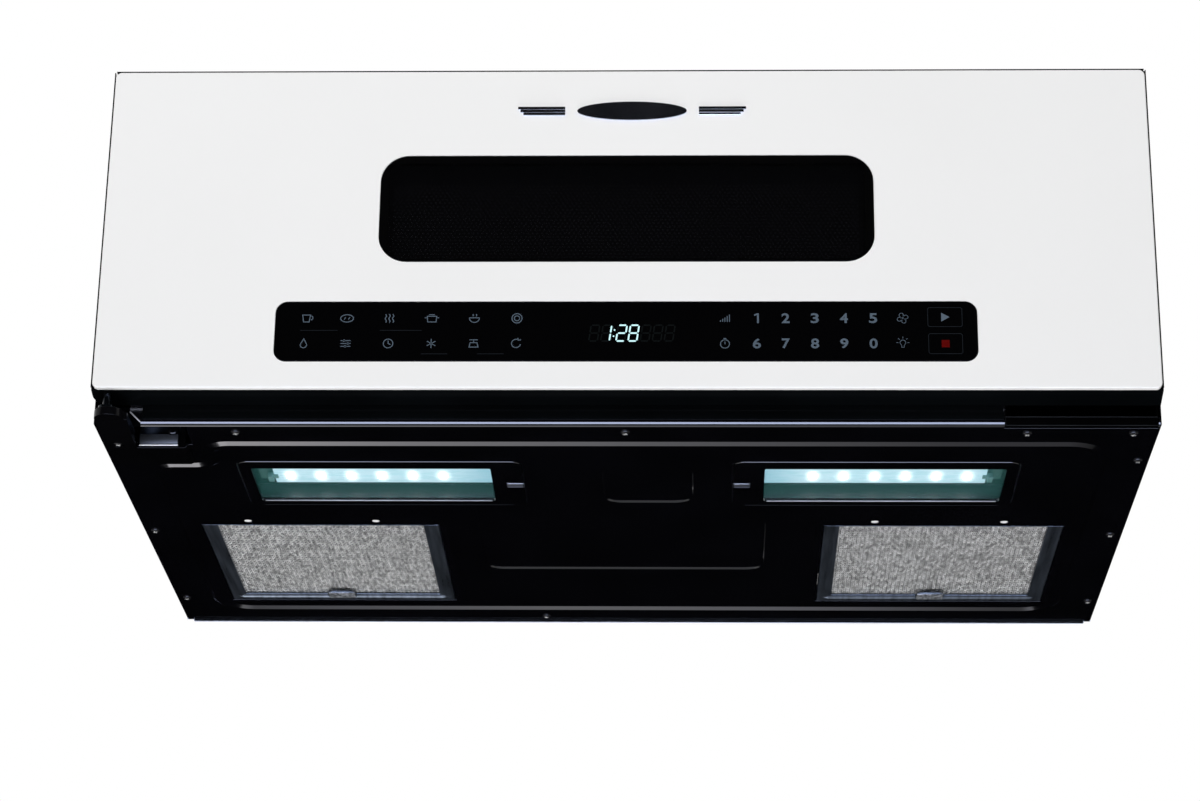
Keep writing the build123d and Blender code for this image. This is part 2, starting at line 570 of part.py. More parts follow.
with BuildPart() as waveguide:
    guide_x = (CAVITY_RIGHT + CAVITY_SHEET, CAVITY_RIGHT + CAVITY_SHEET + GUIDE_DEPTH)
    solid_box(guide_x, (PORT_Y[0] - 1, PORT_Y[1] + 1), (PORT_Z[0] - 1, PORT_Z[1] + 1))
    solid_box((guide_x[0] - 1, guide_x[1] - 1), PORT_Y, PORT_Z, Mode.SUBTRACT)
    rod(guide_x[1], CAVITY_MIDDLE, middle(PORT_Z), 17.0, 6, ALONG_X, Mode.SUBTRACT)
save(waveguide, "waveguide")

MAGNETRON_X = (guide_x[1], guide_x[1] + 78.0)

with BuildPart() as magnetron:
    solid_box(MAGNETRON_X, (CAVITY_MIDDLE - 45, CAVITY_MIDDLE + 45), (PORT_Z[0] - 2, PORT_Z[1] + 2))
    solid_box(
        (MAGNETRON_X[0] + 1.5, MAGNETRON_X[1] - 1.5),
        (CAVITY_MIDDLE - 46, CAVITY_MIDDLE + 46),
        (PORT_Z[0] + 1, PORT_Z[1] - 1),
        Mode.SUBTRACT,
    )
    # anode with its cooling fins, between two ring magnets
    rod(middle(MAGNETRON_X), CAVITY_MIDDLE, middle(PORT_Z), 20.0, span(MAGNETRON_X) - 3, ALONG_X)
    with Locations(Location((middle(MAGNETRON_X), CAVITY_MIDDLE, middle(PORT_Z)))):
        with GridLocations(7.0, 1.0, 6, 1):
            Box(0.8, 80.0, 70.0)
    for end in (-1, 1):
        rod(middle(MAGNETRON_X) + end * 31.0, CAVITY_MIDDLE, middle(PORT_Z), 27.0, 12.0, ALONG_X)
    rod(MAGNETRON_X[0] - 6.0, CAVITY_MIDDLE, middle(PORT_Z), 9.0, 22.0, ALONG_X)
save(magnetron, "magnetron")

TRANSFORMER_X = (250.0, 340.0)
TRANSFORMER_Y = (-150.0, -70.0)
TRANSFORMER_FLOOR = 22.0

with BuildPart() as transformer:
    solid_box(TRANSFORMER_X, TRANSFORMER_Y, (TRANSFORMER_FLOOR, TRANSFORMER_FLOOR + 74))
    core_z = TRANSFORMER_FLOOR + 37
    for window_z in (core_z - 19, core_z + 19):
        solid_box((262.0, 328.0), (-160, -60), (window_z - 8, window_z + 8), Mode.SUBTRACT)
    # windings that wrap the middle limb and bulge at both ends
    for winding_x in ((264.0, 292.0), (298.0, 326.0)):
        for winding_y in ((-168.0, -150.0), (-70.0, -52.0)):
            solid_box(winding_x, winding_y, (core_z - 26, core_z + 26))
    solid_box((245.0, 345.0), (-140.0, -80.0), (TRANSFORMER_FLOOR - 2, TRANSFORMER_FLOOR))
save(transformer, "transformer")

with BuildPart() as capacitor:
    with BuildSketch(Plane.XY.offset(30.0)):
        with Locations((300.0, -330.0)):
            SlotOverall(52.0, 32.0, rotation=90)
    extrude(amount=78.0)
    for terminal in (-8.0, 8.0):
        solid_box((297.0, 303.0), (-331.0 + terminal, -329.0 + terminal), (108.0, 116.0))
save(capacitor, "capacitor")

with BuildPart() as power_board:
    solid_box((366.0, 367.6), (-380.0, -230.0), (60.0, 200.0))
    for relay_y in (-360.0, -335.0, -310.0):
        solid_box((350.0, 366.0), (relay_y - 9, relay_y + 9), (170.0, 190.0))
    solid_box((336.0, 366.0), (-275.0, -240.0), (80.0, 112.0))
    rod(356.0, -300.0, 100.0, 8.0, 20.0, ALONG_X)
save(power_board, "power_board")

with BuildPart() as fan_motor:
    # shroud ring on its mounting plate
    solid_box((FAN_X - 60, FAN_X + 60), (FAN_Y + 8.0, FAN_Y + 9.2), (FAN_Z - 60, FAN_Z + 56))
    rod(FAN_X, FAN_Y, FAN_Z, FAN_RADIUS + 4.0, 18.0, ALONG_Y)
    rod(FAN_X, FAN_Y, FAN_Z, FAN_RADIUS + 2.6, 30.0, ALONG_Y, Mode.SUBTRACT)
    # motor behind it on a strap
    solid_box((FAN_X - 27, FAN_X + 27), (FAN_Y + 16.0, FAN_Y + 38.0), (FAN_Z - 27, FAN_Z + 27))
    solid_box((FAN_X - 55, FAN_X + 55), (FAN_Y + 22.0, FAN_Y + 23.5), (FAN_Z - 7, FAN_Z + 7))
    for strap_x in ((FAN_X - 55.0, FAN_X - 53.5), (FAN_X + 53.5, FAN_X + 55.0)):
        solid_box(strap_x, (FAN_Y + 9.2, FAN_Y + 23.5), (FAN_Z - 7, FAN_Z + 7))
    rod(FAN_X, FAN_Y + 8.0, FAN_Z, 3.0, 30.0, ALONG_Y)
save(fan_motor, "fan_motor")

with BuildPart() as fan_blade:
    rod(FAN_X, FAN_Y, FAN_Z, 10.0, 14.0, ALONG_Y)
    for blade in range(5):
        with Locations(Location((FAN_X, FAN_Y, FAN_Z), (0, blade * 72.0, 0))):
            with Locations(Location((25.0, 0, 0), (28, 0, 0))):
                Box(34.0, 1.6, 24.0)
    rod(FAN_X, FAN_Y, FAN_Z, 3.05, 40.0, ALONG_Y, Mode.SUBTRACT)
save(fan_blade, "fan_blade")

# Turntable
with BuildPart() as turntable_motor:
    rod(CAVITY_X, CAVITY_MIDDLE, CAVITY_FLOOR - CAVITY_SHEET - 9.2, 24.0, 17.0)
    solid_box(
        (CAVITY_X - 33, CAVITY_X + 33),
        (CAVITY_MIDDLE - 8, CAVITY_MIDDLE + 8),
        (CAVITY_FLOOR - CAVITY_SHEET - 1.7, CAVITY_FLOOR - CAVITY_SHEET - 0.2),
    )
    rod(CAVITY_X, CAVITY_MIDDLE, CAVITY_FLOOR, 3.0, 12.0)
save(turntable_motor, "turntable_motor")

with BuildPart() as drive_coupler:
    rod(CAVITY_X, CAVITY_MIDDLE, CAVITY_FLOOR + 5.5, 5.5, 9.0)
    rod(CAVITY_X, CAVITY_MIDDLE, TRAY_BOTTOM - 4.0, COUPLER_RADIUS, 7.0)
    # three wings that drive the tray
    with Locations((CAVITY_X, CAVITY_MIDDLE, TRAY_BOTTOM - 2.5)):
        with PolarLocations(11.0, 3):
            Box(10.0, 5.0, 4.0)
    rod(CAVITY_X, CAVITY_MIDDLE, CAVITY_FLOOR + 3.0, 3.05, 12.2, mode=Mode.SUBTRACT)
save(drive_coupler, "drive_coupler")

with BuildPart() as roller_ring:
    with BuildSketch(Plane.XY.offset(ROLLER_Z - 2.5)):
        with Locations((CAVITY_X, CAVITY_MIDDLE)):
            Circle(ROLLER_RING_RADIUS - 5.5)
            Circle(ROLLER_RING_RADIUS - 11.5, mode=Mode.SUBTRACT)
    extrude(amount=5.0)
    for spoke in range(3):
        with Locations(Location((CAVITY_X, CAVITY_MIDDLE, ROLLER_Z), (0, 0, 90 + spoke * 120))):
            with Locations(Location((ROLLER_RING_RADIUS - 1.0, 0, 0), ALONG_X)):
                Cylinder(2.0, 12.0)
save(roller_ring, "roller_ring")

for number in range(3):
    with BuildPart() as roller_wheel:
        with Locations(Location((CAVITY_X, CAVITY_MIDDLE, ROLLER_Z), (0, 0, 90 + number * 120))):
            with Locations(Location((ROLLER_RING_RADIUS + 0.5, 0, 0), ALONG_X)):
                Cylinder(ROLLER_RADIUS, 7.0)
                Cylinder(2.05, 8.0, mode=Mode.SUBTRACT)
        fillet(roller_wheel.edges().filter_by(GeomType.CIRCLE).group_by(Edge.length)[-1], 1.2)
    save(roller_wheel, f"roller_wheel_{number + 1}")

with BuildPart() as glass_tray:
    with BuildSketch(Plane.XZ.offset(-CAVITY_MIDDLE)):
        with BuildLine():
            Polyline(
                (CAVITY_X, TRAY_BOTTOM),
                (CAVITY_X + 118.0, TRAY_BOTTOM),
                (CAVITY_X + TRAY_RADIUS - 4.0, TRAY_BOTTOM + 9.0),
                (CAVITY_X + TRAY_RADIUS, TRAY_BOTTOM + 11.0),
                (CAVITY_X + TRAY_RADIUS, TRAY_BOTTOM + 14.0),
                (CAVITY_X + TRAY_RADIUS - 8.0, TRAY_BOTTOM + 14.0),
                (CAVITY_X + 115.0, TRAY_BOTTOM + 5.5),
                (CAVITY_X, TRAY_BOTTOM + 5.5),
                close=True,
            )
        make_face()
    revolve(axis=Axis((CAVITY_X, CAVITY_MIDDLE, 0), (0, 0, 1)))
    # three lugs under the tray that stand between the coupler's wings
    with Locations((CAVITY_X, CAVITY_MIDDLE, TRAY_BOTTOM - TRAY_LUG / 2)):
        with PolarLocations(16.5, 3, start_angle=60):
            Box(9.0, 5.0, TRAY_LUG)
save(glass_tray, "glass_tray")

with BuildPart() as cavity_lamp:
    foot_x = (CAVITY_RIGHT + CAVITY_SHEET, CAVITY_RIGHT + 3.0)
    solid_box(foot_x, (LAMP_HOLE_Y - 14, LAMP_HOLE_Y + 14), (LAMP_HOLE_Z - 11, LAMP_HOLE_Z + 11))
    rod(CAVITY_RIGHT + 10.0, LAMP_HOLE_Y, LAMP_HOLE_Z, 9.0, 14.0, ALONG_X)
    rod(CAVITY_RIGHT + 24.0, LAMP_HOLE_Y, LAMP_HOLE_Z, 6.0, 14.0, ALONG_X)
save(cavity_lamp, "cavity_lamp")

# Extraction blower: one motor between two drum wheels, each in its own scroll
with BuildPart() as blower_housing:
    for wheel_x in BLOWER_WHEEL_X:
        rod(wheel_x, BLOWER_Y, BLOWER_Z, BLOWER_HOUSING, BLOWER_WHEEL_LENGTH + 10, ALONG_X)
        solid_box(
            (wheel_x - BLOWER_WHEEL_LENGTH / 2 - 5, wheel_x + BLOWER_WHEEL_LENGTH / 2 + 5),
            (BLOWER_Y, BLOWER_Y + 40.0),
            (BLOWER_Z, HEIGHT - WRAP_SHEET - 0.2),
        )
    for wheel_x in BLOWER_WHEEL_X:
        scroll = (wheel_x, BLOWER_Y, BLOWER_Z)
        rod(*scroll, BLOWER_HOUSING - 1.2, BLOWER_WHEEL_LENGTH + 7.6, ALONG_X, Mode.SUBTRACT)
        rod(*scroll, BLOWER_WHEEL - 8.0, BLOWER_WHEEL_LENGTH + 20, ALONG_X, Mode.SUBTRACT)
        solid_box(
            (wheel_x - BLOWER_WHEEL_LENGTH / 2 - 3.8, wheel_x + BLOWER_WHEEL_LENGTH / 2 + 3.8),
            (BLOWER_Y + 1.2, BLOWER_Y + 38.8),
            (BLOWER_Z, HEIGHT + 1),
            Mode.SUBTRACT,
        )
    # shelf that ties both scrolls and carries the motor
    solid_box((-229.0, 69.0), (BLOWER_Y - 30, BLOWER_Y + 30), (BLOWER_Z - 50.2, BLOWER_Z - 48.8))
save(blower_housing, "blower_housing")

with BuildPart() as blower_motor:
    rod(BLOWER_MOTOR_X, BLOWER_Y, BLOWER_Z, 34.0, 62.0, ALONG_X)
    fillet(blower_motor.edges().filter_by(GeomType.CIRCLE), 4.0)
    foot_x = (BLOWER_MOTOR_X - 22, BLOWER_MOTOR_X + 22)
    solid_box(foot_x, (BLOWER_Y - 12, BLOWER_Y + 12), (BLOWER_Z - 48.8, BLOWER_Z - 30))
    rod(BLOWER_MOTOR_X, BLOWER_Y, BLOWER_Z, BLOWER_SHAFT + 0.05, 80, ALONG_X, Mode.SUBTRACT)
save(blower_motor, "blower_motor")

with BuildPart() as blower_wheels:
    rod(BLOWER_MOTOR_X, BLOWER_Y, BLOWER_Z, BLOWER_SHAFT, 285.0, ALONG_X)
    for wheel_x in BLOWER_WHEEL_X:
        rod(wheel_x, BLOWER_Y, BLOWER_Z, BLOWER_WHEEL, 2.0, ALONG_X)
        for end in (-1, 1):
            with Locations(Location((wheel_x + end * 37.5, BLOWER_Y, BLOWER_Z), ALONG_X)):
                Cylinder(BLOWER_WHEEL, 3.0)
                Cylinder(BLOWER_WHEEL - 8.0, 3.2, mode=Mode.SUBTRACT)
        with Locations(Location((wheel_x, BLOWER_Y, BLOWER_Z), ALONG_X)):
            with PolarLocations(BLOWER_WHEEL - 4.0, 30):
                Box(6.0, 1.0, BLOWER_WHEEL_LENGTH - 5)
save(blower_wheels, "blower_wheels")

# ---------------------------------------------------------------------------
# Door
# ---------------------------------------------------------------------------

PANEL_X = (-HALF_WIDTH + PANEL_INSET, HALF_WIDTH - PANEL_INSET)
PANEL_Z = (DOOR_BOTTOM + 0.1, HEIGHT - 0.9)
front_plane = Plane(origin=(0, FRONT, 0), x_dir=(1, 0, 0), z_dir=(0, -1, 0))

with BuildPart() as door_panel:
    with BuildSketch(front_plane):
        with Locations((0, middle(PANEL_Z))):
            RectangleRounded(span(PANEL_X), span(PANEL_Z), PANEL_CORNER)
    extrude(amount=-PANEL_SHEET)
    fillet(door_panel.faces().sort_by(Axis.Y)[0].edges(), 1.0)
    with BuildSketch(front_plane):
        with Locations((0, WINDOW_Z)):
            RectangleRounded(*WINDOW_SIZE, WINDOW_CORNER)
        with Locations((0, CONTROL_Z)):
            RectangleRounded(*CONTROL_SIZE, CONTROL_CORNER)
    extrude(amount=-PANEL_SHEET - 1, mode=Mode.SUBTRACT)
save(door_panel, "door_panel")

glass_plane = Plane(origin=(0, FRONT + GLASS_SINK, 0), x_dir=(1, 0, 0), z_dir=(0, -1, 0))

for name, size, height, corner in (
    ("window_glass", WINDOW_SIZE, WINDOW_Z, WINDOW_CORNER),
    ("control_glass", CONTROL_SIZE, CONTROL_Z, CONTROL_CORNER),
):
    with BuildPart() as pane:
        with BuildSketch(glass_plane):
            with Locations((0, height)):
                RectangleRounded(size[0] - 2 * GLASS_GAP, size[1] - 2 * GLASS_GAP, corner - GLASS_GAP)
        extrude(amount=-GLASS_SHEET)
        fillet(pane.faces().sort_by(Axis.Y)[0].edges(), 0.4)
    save(pane, name)

FRAME_WALL = 2.0
FRAME_PLATE = 1.0

with BuildPart() as door_frame:
    frame_z = (DOOR_LOW, HEIGHT)
    solid_box((-HALF_WIDTH, HALF_WIDTH), (PANEL_BACK, DOOR_BACK), frame_z)
    # the rear left edge is rounded about the pin line, so it turns clear of the cabinet
    solid_box((-380, HINGE_X), (HINGE_Y, -440), (0, 280), Mode.SUBTRACT)
    rod(HINGE_X, HINGE_Y, middle(frame_z), HINGE_REACH, span(frame_z))
    solid_box((-390, 390), (-480, PANEL_BACK), (0, 280), Mode.SUBTRACT)
    # the underside slopes down from the panel's edge to the back
    with BuildSketch(Plane.YZ.offset(-400)):
        with BuildLine():
            Polyline(
                (PANEL_BACK - 1, DOOR_BOTTOM + 0.27),
                (DOOR_BACK, DOOR_LOW),
                (DOOR_BACK, DOOR_LOW - 1),
                (PANEL_BACK - 1, DOOR_LOW - 1),
                close=True,
            )
        make_face()
    extrude(amount=800, mode=Mode.SUBTRACT)
    solid_box(
        (-354.0, HALF_WIDTH - FRAME_WALL),
        (PANEL_BACK + FRAME_PLATE, -440),
        (DOOR_BOTTOM + FRAME_WALL, HEIGHT - FRAME_WALL),
        Mode.SUBTRACT,
    )
    # windows for the view and for the display and touch board
    solid_box((-182, 182), (-480, -440), (114.0, 207.0), Mode.SUBTRACT)
    solid_box((-246, 246), (-480, -440), (43.0, 84.0), Mode.SUBTRACT)
    # seat of the upper hinge arm and the bores for the pins
    solid_box((-380, -361.0), (PANEL_BACK, -440), (HEIGHT - 5.2, HEIGHT + 1), Mode.SUBTRACT)
    lower_bore = (DOOR_LOW - 1, DOOR_BOTTOM + 10)
    rod(HINGE_X, HINGE_Y, middle(lower_bore), PIN_BORE, span(lower_bore), mode=Mode.SUBTRACT)
    rod(HINGE_X, HINGE_Y, HEIGHT - 10.2, PIN_BORE, 10.2, mode=Mode.SUBTRACT)
    # lug that holds the latch spring's lower end
    solid_box((LATCH_X - 3.5, LATCH_X + 3.5), (-462.5, -452.6), (SPRING_BOTTOM - 2.2, SPRING_BOTTOM - 0.6))
save(door_frame, "door_frame")

with BuildPart() as door_screen:
    solid_box((-196.0, 196.0), (-455.0, -454.4), (100.0, 221.0))
save(door_screen, "door_screen")

def choke_box(margin, y, mode=Mode.ADD):
    """Box that reaches past the cavity's mouth by a margin on all four sides."""
    x = (CAVITY_LEFT - margin, CAVITY_RIGHT + margin)
    solid_box(x, y, (CAVITY_FLOOR - margin, CAVITY_TOP + margin), mode)


with BuildPart() as door_choke:
    choke_box(18, (-453.4, -449.6))
    choke_box(-6, (-460, -440), Mode.SUBTRACT)
    choke_box(16, (-452.4, -440), Mode.SUBTRACT)
    choke_box(4, (-453.4, -449.6))
    choke_box(-6, (-460, -440), Mode.SUBTRACT)
save(door_choke, "door_choke")

with BuildPart() as inner_window:
    solid_box((-196.0, 196.0), (-449.4, -448.0), (100.0, 221.0))
save(inner_window, "inner_window")

with BuildPart() as door_back:
    solid_box((-353.7, HALF_WIDTH - FRAME_WALL - 0.3), (-447.8, DOOR_BACK), (DOOR_BOTTOM + 2.3, HEIGHT - 2.3))
    solid_box((-186.0, 186.0), (-450, -440), (110.0, 211.0), Mode.SUBTRACT)
    for hook_z in HOOK_Z:
        solid_box((LATCH_X - 3, LATCH_X + 3), (-450, -440), (hook_z - 9, hook_z + 12), Mode.SUBTRACT)
save(door_back, "door_back")

with BuildPart() as touch_board:
    solid_box((-244.0, 244.0), (-463.2, -461.6), (44.0, 83.0))
    solid_box((-42.0, 42.0), (-470, -460), (47.0, 78.0), Mode.SUBTRACT)
    for chip_x in (-150.0, -90.0, 110.0):
        solid_box((chip_x, chip_x + 14.0), (-461.6, -459.6), (56.0, 70.0))
save(touch_board, "touch_board")

with BuildPart() as display_module:
    solid_box((-41.5, 41.5), (-463.4, -456.0), (47.5, 77.5))
save(display_module, "display_module")

# Badge place: six small stepped bars beside a plain oval
with BuildPart() as badge_trim:
    for side in (-1, 1):
        for row, length in enumerate((34.5, 32.8, 30.6)):
            inner = BADGE_X + side * 48.9
            outer = inner + side * length
            height = BADGE_Z + 2.4 - row * 2.4
            solid_box(sorted((inner, outer)), (FRONT - 1.2, FRONT), (height - 1.0, height + 1.0))
    with BuildSketch(front_plane):
        with Locations((BADGE_X, BADGE_Z)):
            Ellipse(40.0, 7.5)
    extrude(amount=1.2)
    fillet(badge_trim.faces().sort_by(Axis.Y)[0].edges(), 0.3)
save(badge_trim, "badge_trim")

# Latch: a sprung key inside the door whose two hooks reach into the cabinet
with BuildPart() as latch_key:
    solid_box((LATCH_X - 8, LATCH_X + 8), (-452.4, -450.8), (HOOK_Z[0] - 20, HOOK_Z[1] + 20))
    for hook_z in HOOK_Z:
        solid_box((LATCH_X - 2, LATCH_X + 2), (-450.8, -431.0), (hook_z - 3, hook_z + 5))
        solid_box((LATCH_X - 2, LATCH_X + 2), (-437.0, -431.0), (hook_z - 8, hook_z + 5))
    # lug that the spring pulls down
    solid_box((LATCH_X - 3.5, LATCH_X + 3.5), (-458.6, -450.8), (SPRING_TOP + 0.3, SPRING_TOP + 2.0))
save(latch_key, "latch_key")

spring_path = Helix(
    pitch=(SPRING_TOP - SPRING_BOTTOM) / SPRING_TURNS,
    height=SPRING_TOP - SPRING_BOTTOM,
    radius=SPRING_RADIUS,
    center=(LATCH_X, SPRING_Y, SPRING_BOTTOM),
)
spring_gap = (SPRING_TOP - SPRING_BOTTOM) / SPRING_TURNS - 2 * SPRING_WIRE
print(f"latch spring: least gap between curls {spring_gap:.2f} mm")

with BuildPart() as latch_spring:
    with BuildSketch(Plane(origin=spring_path @ 0, z_dir=spring_path % 0)):
        Circle(SPRING_WIRE)
    sweep(path=spring_path, is_frenet=True)
save(latch_spring, "latch_spring")

with BuildPart() as latch_board:
    for hook_z in HOOK_Z:
        solid_box((LATCH_X - 12, LATCH_X + 12), (CAVITY_MOUTH, -402.0), (hook_z - 20, hook_z + 20))
        solid_box((LATCH_X - 5, LATCH_X + 5), (-450, -424.0), (hook_z - 12, hook_z + 14), Mode.SUBTRACT)
    solid_box((LATCH_X - 12, LATCH_X - 9), (-410.0, -402.0), (HOOK_Z[0], HOOK_Z[1]))
    for hook_z in HOOK_Z:
        rod(LATCH_X, -415.0, hook_z, 2.05, 30.0, ALONG_Y, Mode.SUBTRACT)
save(latch_board, "latch_board")

with BuildPart() as switch_plungers:
    for hook_z in HOOK_Z:
        rod(LATCH_X, -415.0, hook_z, 2.0, 30.0, ALONG_Y)
    fillet(switch_plungers.faces().filter_by(Axis.Y).group_by(Axis.Y)[0].edges(), 0.8)
save(switch_plungers, "switch_plungers")

with BuildPart() as interlock_switches:
    for hook_z in HOOK_Z:
        solid_box((LATCH_X - 5, LATCH_X + 5), (-397.0, -381.0), (hook_z - 14, hook_z + 14))
        for leg in (-9.0, 0.0, 9.0):
            solid_box((LATCH_X - 0.4, LATCH_X + 0.4), (-381.0, -373.0), (hook_z + leg - 3, hook_z + leg + 3))
save(interlock_switches, "interlock_switches")
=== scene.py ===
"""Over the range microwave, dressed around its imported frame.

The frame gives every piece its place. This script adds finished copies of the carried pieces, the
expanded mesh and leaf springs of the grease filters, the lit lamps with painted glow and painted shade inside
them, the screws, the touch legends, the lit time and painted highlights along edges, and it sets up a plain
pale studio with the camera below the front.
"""

import json
import logging
import math
from dataclasses import dataclass
from enum import Enum
from typing import Iterable, Optional, Sequence, Union

import bmesh
import bpy
from mathutils import Matrix, Vector


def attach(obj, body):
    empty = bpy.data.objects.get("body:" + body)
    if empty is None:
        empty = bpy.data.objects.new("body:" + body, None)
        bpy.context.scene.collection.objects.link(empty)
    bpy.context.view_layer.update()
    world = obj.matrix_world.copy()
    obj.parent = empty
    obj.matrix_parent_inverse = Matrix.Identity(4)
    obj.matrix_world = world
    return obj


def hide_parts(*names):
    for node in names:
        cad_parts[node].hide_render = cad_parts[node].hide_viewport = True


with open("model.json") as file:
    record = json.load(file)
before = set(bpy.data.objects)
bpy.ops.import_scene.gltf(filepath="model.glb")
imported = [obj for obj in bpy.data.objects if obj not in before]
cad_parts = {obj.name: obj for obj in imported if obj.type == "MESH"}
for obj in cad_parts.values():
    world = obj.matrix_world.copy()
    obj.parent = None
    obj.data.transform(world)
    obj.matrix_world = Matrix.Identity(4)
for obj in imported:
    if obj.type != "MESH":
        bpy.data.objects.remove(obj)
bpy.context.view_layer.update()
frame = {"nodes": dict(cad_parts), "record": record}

LOG = logging.getLogger("microwave")
MM = 0.001
Span = tuple[float, float]
Spot = tuple[float, float]
Point = tuple[float, float, float]
Box = tuple[Span, Span, Span]
Rod = tuple[Point, float, float]
Colour = tuple[float, float, float]


# --------------------------------------------------------------------------- shader maths


class Wire:
    """One output socket of a shader tree, with arithmetic on it."""

    def __init__(self, graph: "Graph", socket: bpy.types.NodeSocket) -> None:
        """Keep the socket and the graph that it belongs to."""
        self.graph = graph
        self.socket = socket

    def _math(self, operation: str, *values: "Value") -> "Wire":
        """Add a Math node on the given values."""
        return self.graph.node("ShaderNodeMath", {"operation": operation}, dict(enumerate(values)))

    def __add__(self, other: "Value") -> "Wire":
        """Sum."""
        return self._math("ADD", self, other)

    def __sub__(self, other: "Value") -> "Wire":
        """Difference."""
        return self._math("SUBTRACT", self, other)

    def __rsub__(self, other: "Value") -> "Wire":
        """Difference with this wire on the right."""
        return self._math("SUBTRACT", other, self)

    def __mul__(self, other: "Value") -> "Wire":
        """Product."""
        return self._math("MULTIPLY", self, other)

    def __truediv__(self, other: "Value") -> "Wire":
        """Quotient."""
        return self._math("DIVIDE", self, other)

    __radd__ = __add__
    __rmul__ = __mul__

    def above(self, limit: "Value") -> "Wire":
        """1 where the value is over the limit, else 0."""
        return self._math("GREATER_THAN", self, limit)

    def power(self, exponent: float) -> "Wire":
        """The value raised to a power."""
        return self._math("POWER", self, exponent)

    def size(self) -> "Wire":
        """The value without its sign."""
        return self._math("ABSOLUTE", self)

    def wave(self) -> "Wire":
        """Sine of the value."""
        return self._math("SINE", self)

    def fade(self, start: float, stop: float) -> "Wire":
        """0 at start and 1 at stop, smooth between and held outside.

        Args:
            start: value that gives 0.
            stop: value that gives 1.

        Returns:
            The faded value.
        """
        settings = {"interpolation_type": "SMOOTHSTEP"}
        return self.graph.node("ShaderNodeMapRange", settings, {0: self, 1: start, 2: stop})


Value = Union[Wire, float, int]


class Graph:
    """Builds one material's node tree."""

    def __init__(self, name: str) -> None:
        """Start an empty material.

        Args:
            name: name of the material.
        """
        self.material = bpy.data.materials.new(name)
        self.material.use_nodes = True
        self.tree = self.material.node_tree
        self.tree.nodes.clear()

    def node(
        self,
        kind: str,
        settings: Optional[dict] = None,
        inputs: Optional[dict] = None,
        output: Union[int, str] = 0,
    ) -> Wire:
        """Add any node.

        Args:
            kind: the node's type.
            settings: its own settings, set first; "stops" fills a colour ramp.
            inputs: values or wires by socket name or number.
            output: the output to return.

        Returns:
            The chosen output.
        """
        made = self.tree.nodes.new(kind)
        for key, value in (settings or {}).items():
            if key == "stops":
                self._fill_ramp(made, value)
            else:
                setattr(made, key, value)
        for key, value in (inputs or {}).items():
            if isinstance(value, Wire):
                self.tree.links.new(value.socket, made.inputs[key])
            else:
                made.inputs[key].default_value = value
        return Wire(self, made.outputs[output])

    @staticmethod
    def _fill_ramp(node: bpy.types.Node, stops: Sequence[tuple[float, Colour]]) -> None:
        """Fill a colour ramp with (place, colour) stops."""
        elements = node.color_ramp.elements
        elements.remove(elements[-1])
        elements[0].position = stops[0][0]
        elements[0].color = (*stops[0][1], 1.0)
        for place, colour in stops[1:]:
            elements.new(place).color = (*colour, 1.0)

    def place(self) -> Wire:
        """Object coordinates, in metres."""
        return self.node("ShaderNodeTexCoord", output="Object")

    def axes(self) -> tuple[Wire, Wire, Wire]:
        """Object coordinates, split into X, Y and Z."""
        split = self.node("ShaderNodeSeparateXYZ", inputs={0: self.place()})
        outputs = split.socket.node.outputs
        return Wire(self, outputs[0]), Wire(self, outputs[1]), Wire(self, outputs[2])

    def stretched(self, scale: Point) -> Wire:
        """Object coordinates, scaled along each axis."""
        return self.node("ShaderNodeMapping", inputs={"Vector": self.place(), "Scale": scale})

    def noise(self, scale: float, detail: float = 3.0, vector: Optional[Wire] = None) -> Wire:
        """Noise from 0 to 1.

        Args:
            scale: how many features there are in a metre.
            detail: octaves.
            vector: coordinates to use in place of the object's own.

        Returns:
            The noise value.
        """
        return self.node(
            "ShaderNodeTexNoise",
            {"noise_dimensions": "3D"},
            {"Vector": vector or self.place(), "Scale": scale, "Detail": detail},
        )

    def mix(self, factor: Value, first: Union[Colour, Wire], second: Union[Colour, Wire]) -> Wire:
        """Mix two colours.

        Args:
            factor: share of the second colour.
            first: colour at 0.
            second: colour at 1.

        Returns:
            The mixed colour.
        """
        made = self.tree.nodes.new("ShaderNodeMix")
        made.data_type = "RGBA"
        for socket, value in ((made.inputs[0], factor), (made.inputs[6], first), (made.inputs[7], second)):
            if isinstance(value, Wire):
                self.tree.links.new(value.socket, socket)
            elif isinstance(value, tuple):
                socket.default_value = (*value, 1.0)
            else:
                socket.default_value = value
        return Wire(self, made.outputs[2])

    def bump(self, height: Wire, strength: float, distance: float) -> Wire:
        """Turn a height into a normal.

        Args:
            height: height from 0 to 1.
            strength: share of the effect.
            distance: height in metres that 1 stands for.

        Returns:
            The normal.
        """
        return self.node(
            "ShaderNodeBump", None, {"Height": height, "Strength": strength, "Distance": distance}
        )

    def finish(self, **sockets: Union[Value, Colour]) -> bpy.types.Material:
        """End the tree in a Principled shader.

        Args:
            sockets: values or wires by socket name, with _ for a space.

        Returns:
            The finished material.
        """
        inputs = {}
        for key, value in sockets.items():
            inputs[key.replace("_", " ")] = (*value, 1.0) if isinstance(value, tuple) else value
        return self.end(self.node("ShaderNodeBsdfPrincipled", None, inputs))

    def end(self, shader: Wire) -> bpy.types.Material:
        """Link a shader to the material's output, and return the material."""
        out = self.tree.nodes.new("ShaderNodeOutputMaterial")
        self.tree.links.new(shader.socket, out.inputs["Surface"])
        return self.material


# --------------------------------------------------------------------------- finishes


